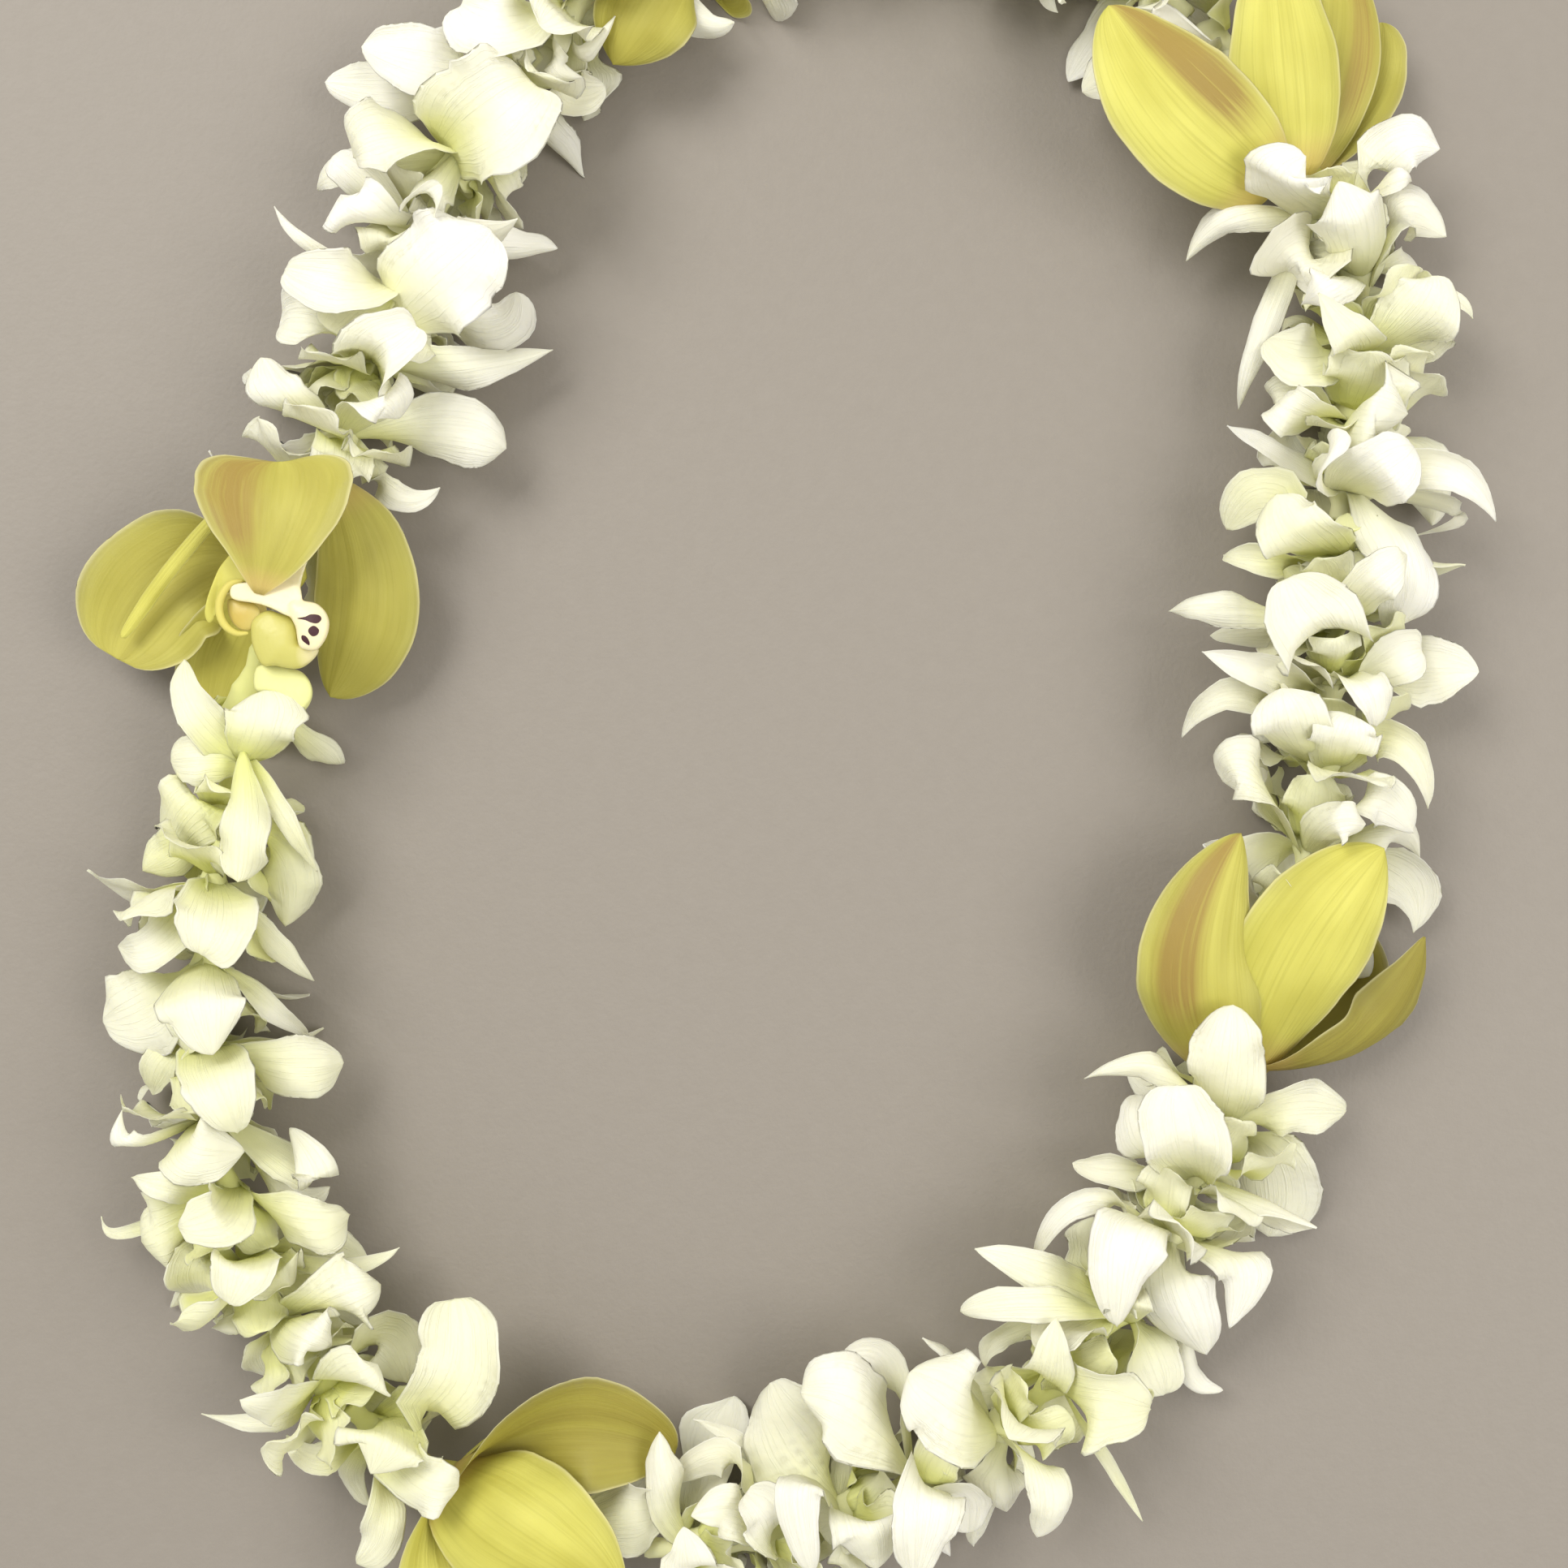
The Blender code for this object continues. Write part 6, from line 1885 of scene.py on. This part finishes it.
def shrunk(outline_px, share):
    """The outline, shrunk towards its middle."""
    middle = [sum(at) / len(outline_px) for at in zip(*outline_px)]
    return [[m + (a - m) * share for m, a in zip(middle, at)] for at in outline_px]


def domed(outline_px, top, rise, thick):
    """Slabs that shrink as they rise, for a rounded top."""
    slabs = []
    for k in range(DOME_STEPS):
        angle = DOME_ANGLE * k / (DOME_STEPS - 1)
        up = rise * math.sin(angle)
        slabs.append(([(x, y, top + up) for x, y in shrunk(outline_px, math.cos(angle))],
                      thick + up))
    return slabs


def moulded(slabs, rounds, finish):
    """One mesh from slabs, each the outline of its top, in pixels and millimetres, and its
    thickness."""
    points, faces = [], []
    for outline_px, thick in slabs:
        first, ring = len(points), rounded(outline_px)
        count = len(ring)
        points += [spot(x, y, z - down) for down in (0, thick) for x, y, z in ring]
        top = range(first, first + count)
        faces += [tuple(reversed(top)), tuple(k + count for k in top)]
        faces += [(a, b, b + count, a + count) for a, b in zip(top, [*top[1:], first])]
    source = linked("slabs", new_mesh("slabs", points, faces, finish))
    melt = source.modifiers.new("melt", "REMESH")
    melt.mode, melt.voxel_size, melt.use_smooth_shade = "VOXEL", VOXEL, True
    soften = source.modifiers.new("soften", "SMOOTH")
    soften.factor, soften.iterations = SOFTENING, rounds
    return kept_shape(source)


print("voxels of", VOXEL * 1000, "mm")

# %% Give a moulded piece its colours
SPOT_POWER = 0.7


def coloured(mesh, spots=(), **shares):
    """Writes what the finishes read. A spot adds to one of them round a pixel, out to a radius
    in millimetres."""
    for name in KEPT:
        values = [shares.get(name, 0.0)] * len(mesh.vertices)
        for kind, x, y, radius, strength in spots:
            if kind == name:
                for k, vertex in enumerate(mesh.vertices):
                    away = vertex.co - place(x, y, vertex.co.z)
                    near = max(0.0, 1 - away.length / (radius * MM))
                    values[k] += strength * near ** SPOT_POWER
        layer = mesh.attributes.get(name) or mesh.attributes.new(name, "FLOAT", "POINT")
        layer.data.foreach_set("value", values)
    return mesh


def mould(name, slabs, rounds, slot, spots=(), **shares):
    """Moulds a piece, colours it and shows it."""
    mesh = coloured(moulded(slabs, rounds, FINISHES[slot]), spots, **shares)
    shown(name, mesh, slot)
    return mesh


CREAM, YELLOW_GREEN, WHITE = "cream_column", "yellow_petal", "white_petal"
print("a finish reads", len(KEPT), "numbers")

# %% Mould the column
ARM = [(398, 648, 34.6), (390, 664, 35.2), (383, 681, 35.8), (377, 697, 36.3), (372, 713, 36.8),
       (370, 728, 37.1), (372, 746, 37.6), (350, 746, 37.4), (336, 732, 37.0), (340, 712, 36.6),
       (354, 694, 36.0), (370, 668, 35.4), (384, 650, 34.6)]
BAR = [(284, 722, 36.0), (296, 718, 36.2), (320, 717, 36.6), (345, 716, 37.0), (368, 722, 37.3),
       (372, 742, 37.7), (366, 761, 37.8), (350, 757, 37.6), (338, 751, 37.3), (322, 745, 36.9),
       (306, 742, 36.5), (292, 740, 36.2), (284, 735, 36.0)]
CAP = [(358, 741), (385, 742), (396, 748), (403, 757), (406, 768), (404, 781), (398, 793),
       (390, 801), (378, 801), (369, 797), (366, 785), (364, 772), (358, 759)]
ARM_THICK = 2.6
slabs = [(ARM, ARM_THICK), (BAR, ARM_THICK), *domed(CAP, top=37.4, rise=1.7, thick=3.6)]
column = mould("column_and_cap", slabs, rounds=9, slot=CREAM, along=0.3, tint=0.2)
print("column faces:", len(column.polygons))

# %% Mould the lip and the ovary
POUCH = [(311, 764), (328, 752), (345, 756), (360, 762), (366, 776), (370, 796), (384, 800),
         (393, 799), (390, 808), (380, 818), (368, 824), (352, 823), (338, 820), (325, 821),
         (317, 811), (311, 795), (309, 778)]
PAD = [(281, 738), (297, 740), (314, 744), (322, 756), (318, 770), (307, 777), (296, 776),
       (287, 768), (281, 755)]
SIDE_LOBE = [(292, 676, 33.0), (281, 686, 33.6), (270, 700, 34.0), (262, 718, 34.2),
             (255, 738, 34.2), (252, 755, 33.6), (256, 767, 32.8), (263, 765, 33.0),
             (268, 750, 34.0), (275, 733, 34.6), (286, 722, 34.8), (302, 718, 35.0),
             (314, 712, 35.2), (308, 694, 34.4)]
OVARY = [(316, 822), (336, 819), (354, 822), (372, 828), (383, 842), (385, 858), (378, 873),
         (366, 880), (352, 868), (334, 856), (314, 850)]
OVARY_LUMP = [(354, 828), (372, 830), (383, 843), (384, 860), (374, 872), (362, 864), (356, 846)]
LOBE_THICK = 1.0
mould("lip_pouch", domed(POUCH, top=33.4, rise=2.0, thick=4.0), rounds=14, slot=CREAM,
      spots=[("green", 392, 806, 5.0, -0.75)], along=0.3, tint=0.7, green=0.85)
mould("lip_pad", domed(PAD, top=32.8, rise=0.8, thick=2.4), rounds=10, slot=CREAM,
      spots=[("flush", 296, 758, 5.0, 0.6)], along=0.3, tint=0.7, green=0.6, flush=0.35)
mould("lip_side_lobe", [(SIDE_LOBE, LOBE_THICK)], rounds=6, slot=YELLOW_GREEN, along=0.5, tint=0.1)
mould("ovary", [*domed(OVARY, top=28.4, rise=1.8, thick=4.0),
                *domed(OVARY_LUMP, top=29.4, rise=1.0, thick=3.0)],
      rounds=14, slot=WHITE, along=0.3, tint=0.5, green=0.85)
print("the lip and the ovary are in place")

# %% Sweep the lip's crest
SWEEP_RINGS = 26
SWEEP_ROUND = 16
FINEST = 0.02
CREST = [(300, 715, 35.6, 0.6, 0.6), (284, 719, 35.8, 0.8, 0.8), (273, 734, 35.6, 0.9, 0.9),
         (270, 752, 35.2, 0.9, 0.9), (276, 769, 34.8, 0.9, 0.9), (290, 780, 34.4, 0.8, 0.8),
         (306, 780, 34.0, 0.6, 0.6)]


def crest_mesh():
    """A round rim through the stops: x and y in pixels, and height, half width and half thickness
    in millimetres. It is rounded off at both ends."""
    points = []
    for row in range(SWEEP_RINGS):
        turn = math.pi * row / (SWEEP_RINGS - 1)
        share = 0.5 - 0.5 * math.cos(turn)
        x, y, z, wide, thick = smooth_stops(CREST, share)
        ahead = smooth_stops(CREST, min(1, share + FINEST))
        behind = smooth_stops(CREST, max(0, share - FINEST))
        slope = (spot(*ahead[:3]) - spot(*behind[:3])).normalized()
        across = slope.cross(UP).normalized()
        rounding = max(FINEST, math.sin(turn)) ** 0.5 * MM
        for k in range(SWEEP_ROUND):
            angle = math.tau * k / SWEEP_ROUND
            points.append(spot(x, y, z) + across * math.cos(angle) * wide * rounding
                          + across.cross(slope) * math.sin(angle) * thick * rounding)
    mesh = new_mesh("crest", points, tube_faces(SWEEP_RINGS, SWEEP_ROUND, turned=True),
                    FINISHES[YELLOW_GREEN])
    mesh.shade_smooth()
    return mesh


shown("lip_crest", coloured(crest_mesh(), along=0.09, tint=0.0), YELLOW_GREEN)
print("crest rings:", SWEEP_RINGS)

# %% Lay the three marks on the cap
MAROON = plain_finish("maroon_mark", (0.035, 0.005, 0.008), (0.06, 0.009, 0.014), scale=900.0,
                      roughness=0.5, distance=0.0001)
MARKS = ([(366, 762), (376, 760), (383, 757), (393, 758), (396, 763), (391, 768), (383, 767),
          (376, 764)],
         [(381, 774), (387, 771), (393, 776), (391, 782), (385, 784), (380, 779)],
         [(372, 783), (377, 784), (381, 790), (381, 795), (376, 792), (372, 788)])
MARK_RINGS = (1.0, 0.66, 0.33)
MARK_LIFT = 0.00006
MARK_DEPTH = 0.0004
EYE = place(*CAMERA_PX, THREAD_HEIGHT) + UP * CAMERA_ABOVE_THREAD


def mark_mesh(outline_px, cap_tree):
    """A thin patch that follows the cap: rings that shrink to a middle, each dropped on the cap
    along the camera's line of sight."""
    ring = rounded(outline_px)
    flat = [at for share in MARK_RINGS for at in shrunk(ring, share)] + shrunk(ring, 0.0)[:1]
    points = []
    for x, y in flat:
        hit, normal, _, _ = cap_tree.ray_cast(EYE, (place(x, y, 0) - EYE).normalized())
        points.append(hit + normal * MARK_LIFT)
    count, last = len(ring), (len(MARK_RINGS) - 1) * len(ring)
    under = len(points)
    points += [points[k] - UP * MARK_DEPTH for k in range(count)]
    faces = [(a, d, c, b) for a, b, c, d in ring_faces(len(MARK_RINGS), count)]
    faces += [(last + k, under - 1, last + (k + 1) % count) for k in range(count)]
    faces += [(k, (k + 1) % count, under + (k + 1) % count, under + k) for k in range(count)]
    faces.append(tuple(range(under, under + count)))
    return new_mesh("mark", points, faces, MAROON)


cap_tree = BVHTree.FromPolygons([v.co for v in column.vertices],
                                [face.vertices for face in column.polygons])
for number, outline_px in enumerate(MARKS, 1):
    shown(f"cap_mark_{number}", mark_mesh(outline_px, cap_tree), CREAM)
print("marks on the cap:", len(MARKS))

# %% [markdown]
# ## The thread
#
# It is cotton, of three plies twisted together. A profile of three round lobes, swept along the
# route and turned as it goes, gives the twist.

# %% Sweep the twisted thread
PLIES = 3
TWIST_LENGTH = 0.0035
FULLER = 1.1
SWEEP_STEPS = 1450
PROFILE_POINTS = 12
LOBE_MEAN, LOBE_SWELL = 0.78, 0.22


def thread_tree():
    """Sweeps a profile of round lobes along the route, and turns it as it goes."""
    tree = bpy.data.node_groups.new("twisted thread", "GeometryNodeTree")
    given = sizes(tree, Steps="Int", Turns="Float", Radius="Float", Material="Material")
    path = added(tree, "GeometryNodeMeshToCurve", {"Mesh": given["Geometry"]})
    path = added(tree, "GeometryNodeResampleCurve", {"Curve": path, "Count": given["Steps"]})
    share = added(tree, "GeometryNodeSplineParameter", {}, "Factor")
    path = added(tree, "GeometryNodeSetCurveTilt",
                 {"Curve": path, "Tilt": share * given["Turns"] * math.tau})
    circle = added(tree, "GeometryNodeCurvePrimitiveCircle",
                   {"Resolution": PROFILE_POINTS, "Radius": given["Radius"]})
    angle = added(tree, "GeometryNodeSplineParameter", {}, "Factor") * math.tau
    lobed = combined("COSINE", angle * PLIES) * LOBE_SWELL + LOBE_MEAN
    profile = added(tree, "GeometryNodeSetPosition",
                    {"Geometry": circle,
                     "Position": added(tree, "GeometryNodeInputPosition") * lobed})
    swept = added(tree, "GeometryNodeCurveToMesh", {"Curve": path, "Profile Curve": profile})
    ended(tree, swept, given["Material"])
    return tree


ends = [(i, (i + 1) % len(STRAND)) for i in range(len(STRAND))]
route = linked("route", new_mesh("route", STRAND, [], edges=ends))
sweep = route.modifiers.new("thread", "NODES")
sweep.node_group = thread_tree()
set_inputs(sweep, Steps=SWEEP_STEPS, Turns=float(round(STRAND_LENGTH / TWIST_LENGTH / PLIES)),
           Radius=THREAD_RADIUS * FULLER, Material=FINISHES["cotton_thread"])
thread_mesh = kept_shape(route)
shown("twisted_thread", thread_mesh, "cotton_thread", "thread")
print("triangles in the thread:", triangles(thread_mesh))

# %% [markdown]
# ## Floor, light and camera
#
# The lei lies on a plain taupe floor under wide, soft light, with a stronger light from the upper
# left. The camera looks straight down.

# %% The floor
FLOOR_HALF = 1.5
FLOOR_COLOURS = (0.288, 0.259, 0.225), (0.268, 0.240, 0.206)


def plain_floor():
    """A plain sheet that the lei lies on. It isn't part of the lei."""
    corners = [(x * FLOOR_HALF, y * FLOOR_HALF, 0) for x, y in SQUARE]
    finish = plain_finish("table", *FLOOR_COLOURS, scale=260.0, roughness=0.55, distance=0.0004,
                          strength=0.25)
    piece = linked("table_top", new_mesh("table_top", corners, [(0, 1, 2, 3)], finish))


plain_floor()
print("the floor is", 2 * FLOOR_HALF, "m wide")

# %% Light
LAMP_SIZE = 0.9
SKY_COLOUR, SKY_STRENGTH = (1.0, 0.98, 0.94, 1), 0.68


def lamp(name, at, watts, colour):
    """A wide soft light that points at the lei's middle."""
    data = bpy.data.lights.new(name, "AREA")
    data.size, data.energy, data.color = LAMP_SIZE, watts, colour
    made = linked(name, data)
    made.location = at
    made.rotation_euler = (-Vector(at)).to_track_quat("-Z", "Y").to_euler()


lamp("upper_left", at=(-0.75, 0.75, 1.5), watts=21.2, colour=(1.0, 0.98, 0.94))
lamp("right", at=(0.9, -0.1, 1.3), watts=10.3, colour=(1.0, 0.97, 0.93))
sky = bpy.data.worlds.new("studio")
sky.use_nodes = True
sky.node_tree.nodes["Background"].inputs["Color"].default_value = SKY_COLOUR
sky.node_tree.nodes["Background"].inputs["Strength"].default_value = SKY_STRENGTH
bpy.context.scene.world = sky
bpy.context.scene.view_settings.view_transform = "Standard"
print("lamps:", len(bpy.data.lights))

# %% Camera
FRAME_PX = 1932
SENSOR = 36.0
CLIP_START = 0.01
camera_data = bpy.data.cameras.new("camera")
camera_data.sensor_width = SENSOR
camera_data.lens = SENSOR * CAMERA_ABOVE_THREAD / (FRAME_PX * METRES_PER_PX)
camera_data.clip_start = CLIP_START
camera = linked("camera", camera_data)
camera.location = EYE
bpy.context.scene.camera = camera
print("camera at", tuple(round(x, 3) for x in camera.location))
